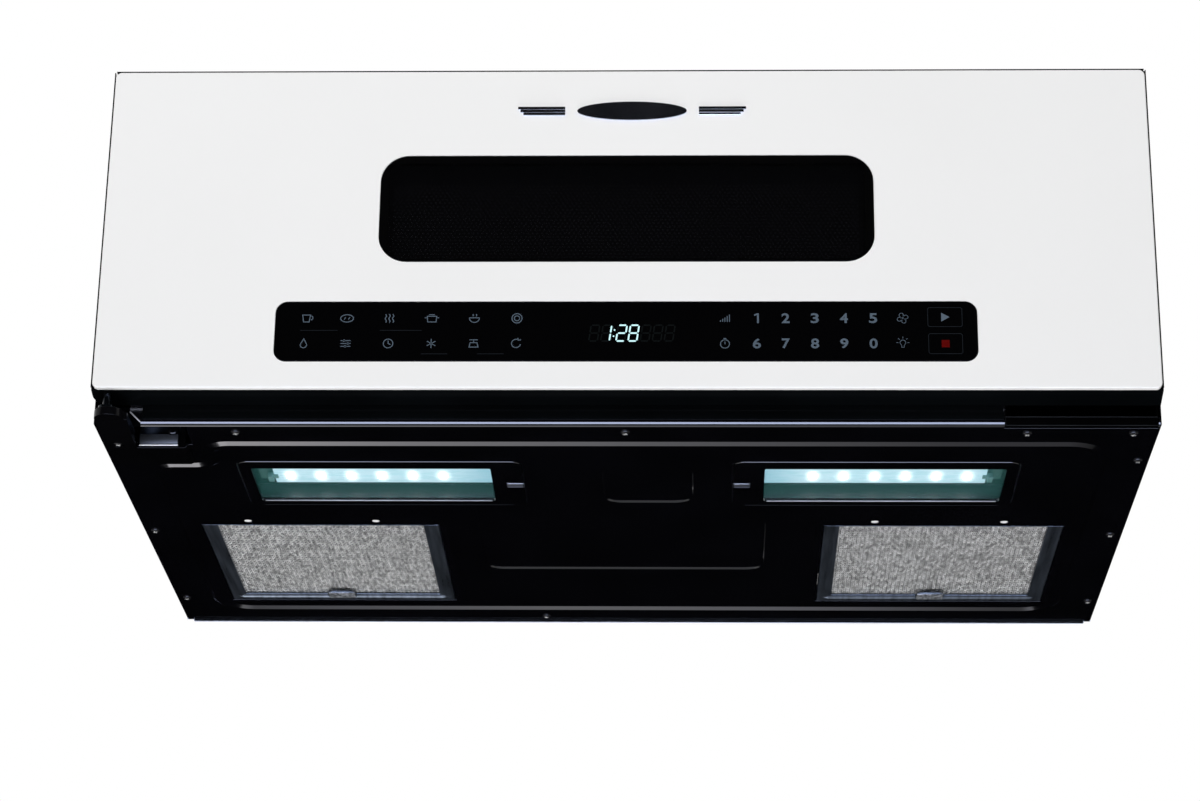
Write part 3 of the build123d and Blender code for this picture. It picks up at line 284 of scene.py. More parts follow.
@dataclass(frozen=True)
class Finish:
    """A finish of one main colour with small uneven places in its tone, gloss and surface.

    Attributes:
        name: name of the material.
        colour: linear colour.
        roughness: middle roughness.
        metallic: share of metal.
        specular: reflection level of the non-metal part.
        tone: share by which the colour changes from place to place.
        blotch: features of that change in a metre.
        grain: features of the surface's bump in a metre.
        relief: height of the bump in metres.
        stretch: scale along X, Y and Z of both patterns, for brushed metal.
        dust: share of the surface with pale specks.
        coat: weight of a clear coat.
    """

    name: str
    colour: Colour
    roughness: float = 0.4
    metallic: float = 0.0
    specular: float = 0.5
    tone: float = 0.06
    blotch: float = 14.0
    grain: float = 900.0
    relief: float = 0.00002
    stretch: Point = (1.0, 1.0, 1.0)
    dust: float = 0.0
    coat: float = 0.0

    def build(self) -> bpy.types.Material:
        """Make the material."""
        graph = Graph(self.name)
        vector = graph.stretched(self.stretch)
        blotch = graph.noise(self.blotch, 4.0, vector)
        grain = graph.noise(self.grain, 2.0, vector)
        darker = tuple(channel * (1 - self.tone) for channel in self.colour)
        lighter = tuple(min(1.0, channel * (1 + self.tone)) for channel in self.colour)
        colour = graph.mix(blotch.fade(0.3, 0.7), darker, lighter)
        if self.dust:
            specks = graph.noise(1400.0, 1.0).fade(0.76, 0.8) * graph.noise(9.0, 2.0).fade(0.45, 0.7)
            colour = graph.mix(specks * self.dust, colour, (0.4, 0.42, 0.45))
        roughness = self.roughness * (0.85 + 0.3 * blotch) + 0.04 * grain
        return graph.finish(
            Base_Color=colour,
            Roughness=roughness,
            Metallic=self.metallic,
            Specular_IOR_Level=self.specular,
            Coat_Weight=self.coat,
            Normal=graph.bump(grain, 0.5, self.relief),
        )


@dataclass(frozen=True)
class TintedGlass:
    """Glass with a tint and an opacity of its own in a see-through field.

    Attributes:
        name: name of the material.
        colour: linear tint.
        opacity: alpha of the printed border.
        field: alpha inside the see-through field.
        middle: X and Z of the field's middle, in metres.
        half: half width and half height of the field, in metres.
        glow: strength of a faint painted glow of the tint's colour, which stands for the lamp's light in the
            glass.
        roughness: roughness of the surface.
        specular: reflection level.
        blur: width of the field's soft edge in metres.
    """

    name: str
    colour: Colour
    opacity: float
    field: float
    middle: Spot = (0.0, 0.0)
    half: Spot = (9.0, 9.0)
    glow: float = 0.0
    roughness: float = 0.05
    specular: float = 0.2
    blur: float = 0.0006

    def build(self) -> bpy.types.Material:
        """Make the material."""
        graph = Graph(self.name)
        x, _, z = graph.axes()
        inside = (x - self.middle[0]).size().fade(self.half[0] + self.blur, self.half[0])
        inside = inside * (z - self.middle[1]).size().fade(self.half[1] + self.blur, self.half[1])
        smear = graph.noise(11.0, 5.0)
        return graph.finish(
            Base_Color=graph.mix(smear, self.colour, tuple(channel * 0.8 for channel in self.colour)),
            Roughness=self.roughness + 0.06 * smear,
            Alpha=self.opacity + inside * (self.field - self.opacity),
            Specular_IOR_Level=self.specular,
            Emission_Color=graph.mix(smear, self.colour, self.colour),
            Emission_Strength=self.glow,
            IOR=1.5,
        )


@dataclass(frozen=True)
class GlowPaintedBoard:
    """White circuit board of a lamp, with the diodes' light painted on it as a glow, brightest round each of
    its diodes.

    Attributes:
        name: name of the material.
        middles: distance of each row's middle from the centre, left and right, in metres.
        pitch: distance between diodes, in metres.
        row: Y of the row, in metres.
        strength: brightness of the painted glow.
        dark: painted glow of the board far from the diodes.
        pale: painted glow that the board adds along the row.
        bright: painted glow that a diode adds round itself.
    """

    name: str
    middles: Span
    pitch: float
    row: float
    strength: float = 1.5
    dark: float = 0.16
    pale: float = 0.2
    bright: float = 1.1

    def build(self) -> bpy.types.Material:
        """Make the material."""
        graph = Graph(self.name)
        x, y, _ = graph.axes()
        left, right = self.middles
        along = x.size() - left - x.above(0.0) * (right - left)
        end = 3.0 * self.pitch
        peak = (along * (math.pi / self.pitch)).wave().power(6.0) * along.size().fade(end, end - 0.002)
        across = (y - self.row).size().fade(0.015, 0.003)
        lit = along.size().fade(end + 0.026, end - 0.012)
        # painted light: the glow that the diodes cast on the board, put in as emission
        light = self.dark + self.pale * lit + self.bright * peak * across
        traces = graph.noise(160.0, 2.0, graph.stretched((0.4, 2.5, 1.0))).fade(0.52, 0.56)
        tint = graph.mix(light, (0.08, 0.24, 0.33), (0.9, 1.0, 1.0))
        tint = graph.mix(traces * 0.2, tint, (0.1, 0.4, 0.47))
        return graph.finish(
            Base_Color=graph.mix(traces, (0.22, 0.3, 0.36), (0.18, 0.27, 0.32)),
            Roughness=0.4 + 0.1 * traces,
            Emission_Color=tint,
            Emission_Strength=self.strength,
        )


@dataclass(frozen=True)
class LinerPaintedLight:
    """Colour of a lamp's steel box with the lamp's light painted in: a pale field of painted light where the
    lamp lights it, and painted shade, near black, under the cover's frame.

    Attributes:
        name: name of the material.
        colour: linear colour of the pale field of painted light.
        across: distances of the field's ends from the centre, in metres.
        along: Y of the field's two sides in metres.
        blur: width of the field's soft edge in metres.
    """

    name: str
    colour: Colour = (0.13, 0.23, 0.22)
    across: Span = (0.098, 0.281)
    along: Span = (-0.364, -0.289)
    blur: float = 0.002

    def build(self) -> bpy.types.Material:
        """Make the material."""
        graph = Graph(self.name)
        x, y, _ = graph.axes()
        # painted light inside the field; painted shade, near black, outside it under the cover's frame
        field = x.size().fade(self.across[0], self.across[0] + self.blur)
        field = field * x.size().fade(self.across[1], self.across[1] - self.blur)
        field = field * y.fade(self.along[0], self.along[0] + self.blur)
        field = field * y.fade(self.along[1], self.along[1] - self.blur)
        smear = graph.noise(20.0, 3.0)
        pale = graph.mix(smear, self.colour, tuple(channel * 0.8 for channel in self.colour))
        return graph.finish(
            Base_Color=graph.mix(field, (0.002, 0.002, 0.003), pale),
            Roughness=0.3 + 0.08 * smear,
        )


@dataclass(frozen=True)
class Glow:
    """A lit surface with a small change in brightness.

    Attributes:
        name: name of the material.
        colour: linear colour of the light.
        strength: brightness.
        base: colour of the surface itself.
    """

    name: str
    colour: Colour
    strength: float
    base: Colour = (0.02, 0.02, 0.02)

    def build(self) -> bpy.types.Material:
        """Make the material."""
        graph = Graph(self.name)
        uneven = graph.noise(300.0, 1.0)
        paler = tuple(channel * 0.9 for channel in self.colour)
        return graph.finish(
            Base_Color=graph.mix(uneven, self.base, tuple(channel * 0.9 for channel in self.base)),
            Emission_Color=graph.mix(uneven, self.colour, paler),
            Emission_Strength=self.strength,
            Roughness=0.4 + 0.1 * uneven,
        )


@dataclass(frozen=True)
class CircuitBoard:
    """Green board with copper traces and pads."""

    name: str

    def build(self) -> bpy.types.Material:
        """Make the material."""
        graph = Graph(self.name)
        cells = graph.node("ShaderNodeTexVoronoi", {"distance": "MANHATTAN"}, {"Scale": 160.0})
        traces = cells.fade(0.25, 0.3)
        pads = graph.noise(420.0, 1.0).fade(0.7, 0.72)
        board = graph.mix(traces, (0.015, 0.09, 0.035), (0.03, 0.15, 0.06))
        return graph.finish(
            Base_Color=graph.mix(pads, board, (0.5, 0.47, 0.42)),
            Roughness=0.35 + 0.15 * traces,
            Metallic=pads * 0.8,
            Normal=graph.bump(traces, 0.4, 0.00005),
        )


class Finishes:
    """Every finish of the appliance, each built once when it is first asked for."""

    RECIPES = (
        Finish(
            "white_enamel", (0.86, 0.86, 0.86), 0.34, tone=0.006, blotch=5.0, relief=0.000006, specular=0.35
        ),
        Finish(
            "black_enamel", (0.0012, 0.0012, 0.002), 0.09,
            specular=0.7, tone=0.25, grain=500.0, relief=0.000002, dust=0.2,
        ),
        Finish("door_edge_enamel", (0.0016, 0.0021, 0.0026), 0.12, tone=0.2, relief=0.000002, specular=0.02),
        Finish("pocket_plastic", (0.001, 0.001, 0.0013), 0.12, tone=0.2, relief=0.000002, specular=0.01),
        Finish(
            "black_plastic", (0.0022, 0.0022, 0.003), 0.3,
            specular=0.35, tone=0.2, grain=1600.0, relief=0.00001, dust=0.1,
        ),
        Finish("glossy_plastic", (0.0015, 0.0015, 0.002), 0.16, tone=0.2, relief=0.000003, specular=0.12),
        # painted shade: zinc steel coloured near black, as the lower hinge sits in a dark recess
        Finish(
            "shaded_bracket_steel", (0.009, 0.012, 0.016), 0.13, 0.8, tone=0.35, blotch=60.0, stretch=(0.6, 2.0, 2.0)
        ),
        Finish("black_screw", (0.004, 0.004, 0.005), 0.14, tone=0.2, blotch=300.0, specular=0.22),
        # near white: the filter clips' spring steel, its brightness partly a painted highlight, and a painted
        # highlight along the hinge flange's edge
        Finish("steel_and_painted_highlight", (0.9, 0.9, 0.9), 0.3, 0.1, tone=0.05, blotch=60.0),
        Finish("zinc_steel", (0.56, 0.58, 0.61), 0.3, 1.0, tone=0.12, blotch=60.0, stretch=(0.3, 3.0, 1.0)),
        Finish("plain_steel", (0.42, 0.43, 0.44), 0.38, 1.0, tone=0.1, blotch=30.0, stretch=(0.3, 2.0, 2.0)),
        Finish("cavity_paint", (0.42, 0.42, 0.41), 0.36, tone=0.08, relief=0.00003, dust=0.15),
        Finish(
            "rail_aluminium", (0.15, 0.175, 0.21), 0.27, 0.92, tone=0.35, blotch=70.0, stretch=(3.0, 0.2, 1.0)
        ),
        Finish("rim_aluminium", (0.42, 0.45, 0.5), 0.26, 1.0, tone=0.2, blotch=50.0, stretch=(0.3, 3.0, 1.0)),
        Finish(
            "mesh_aluminium", (1.0, 1.0, 1.0), 0.28, 0.05, tone=0.75, blotch=330.0, stretch=(1.0, 0.45, 1.0)
        ),
        # deeper mesh layers: much darker than the face wires, as painted shade in the filter's depth
        Finish("shaded_mesh_backing", (0.2, 0.203, 0.21), 0.5, tone=0.95, blotch=300.0, stretch=(1.0, 0.5, 1.0)),
        Finish(
            "tab_aluminium", (0.22, 0.23, 0.25), 0.34, 0.4, tone=0.9, blotch=420.0, stretch=(1.0, 0.5, 1.0)
        ),
        # painted sheen: a greyer strip that stands for the reflection on the hinge's flange
        Finish("sheen_painted_steel", (0.05, 0.055, 0.062), 0.3, 0.3, tone=0.4, blotch=60.0),
        # painted highlights: pale and faint paints on thin rods along edges, standing for the light that the
        # edges catch
        Finish("edge_highlight_paint", (0.34, 0.35, 0.39), 0.3, tone=0.2, blotch=30.0),
        Finish("faint_edge_highlight", (0.008, 0.009, 0.01), 0.3, tone=0.3, blotch=30.0, specular=0.05),
        # painted glint: pale paint for the highlights in the screws' cross recesses
        Finish("screw_glint", (0.85, 0.85, 0.85), 0.3, tone=0.9, blotch=900.0),
        Finish("plug_plastic", (0.16, 0.3, 0.3), 0.45, tone=0.1, blotch=200.0),
        Finish("bright_chrome", (0.66, 0.67, 0.7), 0.12, 1.0, tone=0.05, blotch=40.0, relief=0.000003),
        Finish("white_plastic", (0.7, 0.7, 0.67), 0.45, tone=0.05, grain=1200.0),
        Finish("mica_sheet", (0.6, 0.55, 0.46), 0.5, tone=0.18, blotch=120.0, coat=0.3),
        Finish(
            "charcoal_grain", (0.012, 0.012, 0.013), 0.85, tone=0.7, blotch=500.0, grain=700.0, relief=0.0006
        ),
        Finish("motor_steel", (0.3, 0.31, 0.33), 0.34, 1.0, tone=0.15, blotch=40.0),
        Finish(
            "varnished_core", (0.045, 0.028, 0.018), 0.42, 0.3,
            tone=0.3, blotch=400.0, stretch=(0.05, 0.05, 3.0),
        ),
        Finish("legend_ink", (0.088, 0.118, 0.155), 0.25, tone=0.08, blotch=200.0, specular=0.02),
        Finish("faint_ink", (0.012, 0.015, 0.019), 0.25, tone=0.08, blotch=200.0, specular=0.02),
        Finish("red_ink", (0.09, 0.0012, 0.0008), 0.25, tone=0.08, blotch=200.0, specular=0.02),
        Finish("unlit_segment", (0.0036, 0.0048, 0.005), 0.25, tone=0.1, blotch=300.0, specular=0.02),
        Finish("screen_black", (0.003, 0.003, 0.0035), 0.6, tone=0.2, specular=0.15),
        Finish("screen_dot", (0.043, 0.041, 0.047), 0.6, tone=0.25, blotch=30.0, specular=0.2),
        TintedGlass(
            "window_glass", (0.0016, 0.0016, 0.0018), 1.0, 0.55, (0.0, 0.158), (0.172, 0.038), specular=0.12
        ),
        TintedGlass("control_glass", (0.0012, 0.0012, 0.0015), 1.0, 1.0, specular=0.12),
        # faint painted glow: the lamp's light in the pane, put in as emission
        TintedGlass("lamp_pane", (0.05, 0.24, 0.22), 0.14, 0.14, glow=0.09),
        TintedGlass("tray_glass", (0.75, 0.85, 0.84), 0.35, 0.35, specular=0.5),
        TintedGlass("inner_pane", (0.5, 0.55, 0.55), 0.2, 0.2, specular=0.4),
        Glow("diode_light", (0.9, 0.98, 1.0), 14.0, (0.9, 0.9, 0.8)),
        # painted lamp light and painted shade in the lamp boxes
        LinerPaintedLight("lamp_liner"),
        Glow("lit_segment", (0.62, 0.98, 1.0), 1.15),
        CircuitBoard("circuit_board"),
    )

    def __init__(self) -> None:
        """Start with nothing built."""
        self.recipes = {recipe.name: recipe for recipe in self.RECIPES}
        self.built: dict[str, bpy.types.Material] = {}

    def add(self, recipe: GlowPaintedBoard) -> None:
        """Add a recipe whose sizes come from the frame."""
        self.recipes[recipe.name] = recipe

    def __getitem__(self, name: str) -> bpy.types.Material:
        """The finished material of that name."""
        if name not in self.built:
            self.built[name] = self.recipes[name].build()
        return self.built[name]


FINISHES = Finishes()


# --------------------------------------------------------------------------- making pieces


def link(name: str, data: bpy.types.ID) -> bpy.types.Object:
    """Put a mesh, a text, a light or a camera into the scene as an object at the origin."""
    piece = bpy.data.objects.new(name, data)
    bpy.context.scene.collection.objects.link(piece)
    return piece


def shade_by_angle(mesh: bpy.types.Mesh, degrees: float) -> None:
    """Shade smooth, with sharp edges where two faces meet at more than an angle.

    Args:
        mesh: the mesh to shade.
        degrees: least angle of a sharp edge.
    """
    limit = math.radians(degrees)
    work = bmesh.new()
    work.from_mesh(mesh)
    for face in work.faces:
        face.smooth = True
    for edge in work.edges:
        edge.smooth = len(edge.link_faces) == 2 and edge.calc_face_angle(0.0) < limit
    work.to_mesh(mesh)
    work.free()


def dress(
    piece: bpy.types.Object,
    finish: str,
    body: str,
    slot: str,
    nodes: Sequence[str] = (),
) -> bpy.types.Object:
    """Give a finished piece its finish, its body and the nodes that it stands for.

    Args:
        piece: the finished piece.
        finish: name of its finish, or "" where its mesh already has its own.
        body: body that it rides on.
        slot: the record's material slot; not used.
        nodes: CAD nodes that it replaces.

    Returns:
        The same piece.
    """
    if finish:
        piece.data.materials.clear()
        piece.data.materials.append(FINISHES[finish])
    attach(piece, body)
    if nodes:
        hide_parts(*nodes)
    LOG.info("%s: %d faces on %s", piece.name, len(piece.data.polygons), body)
    return piece


def body_of(node: str) -> str:
    """Body that a CAD node belongs to."""
    for name, members in frame["record"]["behaviour"]["bodies"].items():
        if node in members:
            return name
    raise KeyError(node)


def merged_copy(node: str, angle: float = 1.0) -> bmesh.types.BMesh:
    """Copy a CAD node's mesh with its doubles merged and its flat faces joined.

    Args:
        node: name of the node.
        angle: faces that meet at less than this many degrees are joined.

    Returns:
        The copy as a bmesh.
    """
    work = bmesh.new()
    work.from_mesh(frame["nodes"][node].data)
    bmesh.ops.remove_doubles(work, verts=work.verts, dist=0.000002)
    bmesh.ops.dissolve_limit(
        work, angle_limit=math.radians(angle), verts=work.verts, edges=work.edges, delimit=set()
    )
    return work


def settle(work: bmesh.types.BMesh, name: str) -> bpy.types.Mesh:
    """Turn a bmesh into a mesh and free it."""
    mesh = bpy.data.meshes.new(name)
    work.to_mesh(mesh)
    work.free()
    return mesh


def evaluated(piece: bpy.types.Object) -> bpy.types.Mesh:
    """Mesh of an object as its modifiers or its text make it."""
    bpy.context.view_layer.update()
    depsgraph = bpy.context.evaluated_depsgraph_get()
    return bpy.data.meshes.new_from_object(piece.evaluated_get(depsgraph), depsgraph=depsgraph)


def bake(piece: bpy.types.Object) -> None:
    """Replace a piece's mesh by what its modifiers give, and remove them."""
    mesh = evaluated(piece)
    piece.modifiers.clear()
    piece.data = mesh


def round_edges(piece: bpy.types.Object, radius: float, angle: float) -> None:
    """Round a piece's edges where its faces meet at more than an angle.

    Args:
        piece: the piece.
        radius: radius of the edges in millimetres.
        angle: least angle of a rounded edge in degrees.
    """
    bevel = piece.modifiers.new("edges", "BEVEL")
    bevel.width = radius * MM
    bevel.segments = 2
    bevel.limit_method = "ANGLE"
    bevel.angle_limit = math.radians(angle)
    bake(piece)


@dataclass(frozen=True)
class Coat:
    """How a CAD node is dressed: its finish and the softness of its edges, with the record's slot, which
    dress does not use.

    Attributes:
        finish: name of the finish.
        slot: the record's material slot.
        edge: radius of the rounded edges in millimetres, or 0 to keep them sharp.
        shade: angle in degrees over which an edge stays sharp.
    """

    finish: str
    slot: str
    edge: float = 0.0
    shade: float = 32.0


def carry(node: str, coat: Coat) -> bpy.types.Object:
    """Make the finished piece that stands for a CAD node of the right shape.

    Args:
        node: name of the node.
        coat: how it is dressed.

    Returns:
        The finished piece.
    """
    piece = link(f"{node}_finished", settle(merged_copy(node), node))
    if coat.edge:
        round_edges(piece, coat.edge, 50.0)
    shade_by_angle(piece.data, coat.shade)
    flats = piece.modifiers.new("flats", "WEIGHTED_NORMAL")
    flats.keep_sharp = True
    flats.weight = 100
    bake(piece)
    return dress(piece, coat.finish, body_of(node), coat.slot, [node])


class Sprout:
    """Builds one Geometry Nodes tree with named inputs, and grows pieces from it."""

    def __init__(self, name: str) -> None:
        """Start an empty tree with one geometry in and one out.

        Args:
            name: name of the tree.
        """
        self.tree = bpy.data.node_groups.new(name, "GeometryNodeTree")
        self.tree.interface.new_socket("Geometry", in_out="INPUT", socket_type="NodeSocketGeometry")
        self.tree.interface.new_socket("Geometry", in_out="OUTPUT", socket_type="NodeSocketGeometry")
        self.source = self.tree.nodes.new("NodeGroupInput")
        self.sink = self.tree.nodes.new("NodeGroupOutput")

    def given(self, name: str, kind: str) -> bpy.types.NodeSocket:
        """Add a named input of a kind such as Float, Int, Object or Material."""
        self.tree.interface.new_socket(name, in_out="INPUT", socket_type=f"NodeSocket{kind}")
        return self.source.outputs[name]

    def node(
        self,
        kind: str,
        settings: Optional[dict] = None,
        inputs: Optional[dict] = None,
        output: Union[int, str] = 0,
    ) -> bpy.types.NodeSocket:
        """Add a node.

        Args:
            kind: the node's type.
            settings: its own settings, set first.
            inputs: values or sockets by socket name or number.
            output: the output to return.

        Returns:
            The chosen output.
        """
        made = self.tree.nodes.new(kind)
        for key, value in (settings or {}).items():
            setattr(made, key, value)
        for key, value in (inputs or {}).items():
            if isinstance(value, bpy.types.NodeSocket):
                self.tree.links.new(value, made.inputs[key])
            else:
                made.inputs[key].default_value = value
        return made.outputs[output]

    def maths(self, operation: str, *values: Union[bpy.types.NodeSocket, float]) -> bpy.types.NodeSocket:
        """Add a Math node on the given values."""
        return self.node("ShaderNodeMath", {"operation": operation}, dict(enumerate(values)))

    def vector(
        self,
        x: Union[bpy.types.NodeSocket, float] = 0.0,
        y: Union[bpy.types.NodeSocket, float] = 0.0,
        z: Union[bpy.types.NodeSocket, float] = 0.0,
    ) -> bpy.types.NodeSocket:
        """Combine three values into a vector."""
        return self.node("ShaderNodeCombineXYZ", None, {0: x, 1: y, 2: z})

    def close(self, geometry: bpy.types.NodeSocket) -> None:
        """End the tree: realize, set the material and pass it out."""
        finish = self.given("Finish", "Material")
        realized = self.node("GeometryNodeRealizeInstances", None, {"Geometry": geometry})
        painted = self.node("GeometryNodeSetMaterial", None, {"Geometry": realized, "Material": finish})
        self.tree.links.new(painted, self.sink.inputs["Geometry"])

    def grow(self, name: str, values: dict, seeds: Optional[bpy.types.Mesh] = None) -> bpy.types.Object:
        """Grow a plain mesh from the tree.

        Args:
            name: name of the piece.
            values: values of the named inputs.
            seeds: mesh whose points the tree starts from.

        Returns:
            The piece, with the modifier removed.
        """
        piece = link(name, seeds or bpy.data.meshes.new(name))
        modifier = piece.modifiers.new("growth", "NODES")
        modifier.node_group = self.tree
        for item in self.tree.interface.items_tree:
            if item.item_type == "SOCKET" and item.in_out == "INPUT" and item.name in values:
                modifier[item.identifier] = values[item.name]
        bake(piece)
        return piece


def points_mesh(points: Iterable[Point]) -> bpy.types.Mesh:
    """Mesh of loose points, in metres."""
    mesh = bpy.data.meshes.new("points")
    mesh.from_pydata(list(points), [], [])
    return mesh


class Way(Enum):
    """Direction in which a placed shape faces, as the turn of one that faces +Z."""

    DOWN = (math.pi, 0.0, 0.0)
    FRONT = (math.pi / 2, 0.0, 0.0)
    BACK = (-math.pi / 2, 0.0, 0.0)


class Scatter(Sprout):
    """Places one shape on every point, with a random turn about its own axis."""

    def __init__(self) -> None:
        """Build the tree."""
        super().__init__("scatter")
        shape = self.given("Shape", "Object")
        lean = self.given("Lean", "Vector")
        turn = self.given("Turn", "Float")
        seed = self.given("Seed", "Int")
        own = self.node("GeometryNodeObjectInfo", None, {"Object": shape}, "Geometry")
        spin = self.node(
            "FunctionNodeRandomValue", {"data_type": "FLOAT"}, {2: 0.0, 3: turn, "Seed": seed}, 1
        )
        copies = self.node(
            "GeometryNodeInstanceOnPoints",
            None,
            {"Points": self.source.outputs["Geometry"], "Instance": own, "Rotation": lean},
        )
        spun = self.node(
            "GeometryNodeRotateInstances",
            None,
            {"Instances": copies, "Rotation": self.vector(z=spin)},
        )
        self.close(spun)

    def place(
        self,
        name: str,
        shape: bpy.types.Object,
        spots: Sequence[Point],
        way: Way,
        finish: str,
        turn: float = 3.0,
    ) -> bpy.types.Object:
        """Put a shape on every spot, then drop the shape itself.

        Args:
            name: name of the piece.
            shape: the shape, facing +Z.
            spots: places in millimetres.
            way: direction in which the shapes face.
            finish: name of the finish.
            turn: largest random turn in radians.

        Returns:
            All of them as one piece.
        """
        values = {
            "Shape": shape,
            "Lean": way.value,
            "Turn": turn,
            "Seed": len(spots),
            "Finish": FINISHES[finish],
        }
        piece = self.grow(name, values, points_mesh((x * MM, y * MM, z * MM) for x, y, z in spots))
        bpy.data.objects.remove(shape)
        return piece


SCATTER = Scatter()


@dataclass(frozen=True)
class CrossHead:
    """Domed head of a cross head screw, facing +Z, its seat at Z 0.

    Attributes:
        radius: its radius in millimetres.
        rise: its height in millimetres.
    """

    radius: float
    rise: float

    SIDES = 40
    RINGS = (0.1, 0.17, 0.24, 0.33, 0.42, 0.5, 0.56, 0.7, 0.84, 0.94, 1.0)
    ARM = 0.52
    HALF_SLOT = 0.13
    DEPTH = 0.55
    CROSS_FILL = 0.12
    CROSS_HEIGHTS = (0.75, 1.5)

    def shape(self) -> bpy.types.Object:
        """The head, with rings and a recess at shares of its radius and rise."""
        work = bmesh.new()
        rings = []
        for share in self.RINGS:
            ring = []
            for index in range(self.SIDES):
                angle = 2 * math.pi * index / self.SIDES
                x = self.radius * share * math.cos(angle)
                y = self.radius * share * math.sin(angle)
                arm = min(abs(x), abs(y)) < self.HALF_SLOT * self.radius and share < self.ARM
                height = self.rise * math.sqrt(max(0.0, 1 - 0.9 * share**4)) - self.DEPTH * self.rise * arm
                ring.append(work.verts.new((x * MM, y * MM, height * MM)))
            rings.append(ring)
        foot = [work.verts.new((v.co.x, v.co.y, 0.0)) for v in rings[-1]]
        rings.append(foot)
        for inner, outer in zip(rings, rings[1:]):
            for index in range(self.SIDES):
                after = (index + 1) % self.SIDES
                work.faces.new((inner[index], outer[index], outer[after], inner[after]))
        work.faces.new(rings[0])
        work.faces.new(tuple(reversed(foot)))
        mesh = settle(work, "screw_head")
        shade_by_angle(mesh, 35)
        return link("screw_shape", mesh)

    def cross(self) -> bpy.types.Object:
        """The bright cross that lies in the head's recess: a painted glint of pale paint, standing for the
        highlights in the recess.
        """
        arm, half = self.ARM * self.radius, self.CROSS_FILL * self.radius
        cross = Blocks().block((-arm, arm), (-half, half), self.CROSS_HEIGHTS)
        cross.block((-half, half), (-arm, arm), self.CROSS_HEIGHTS)
        return cross.finish("cross_shape", 0.1)


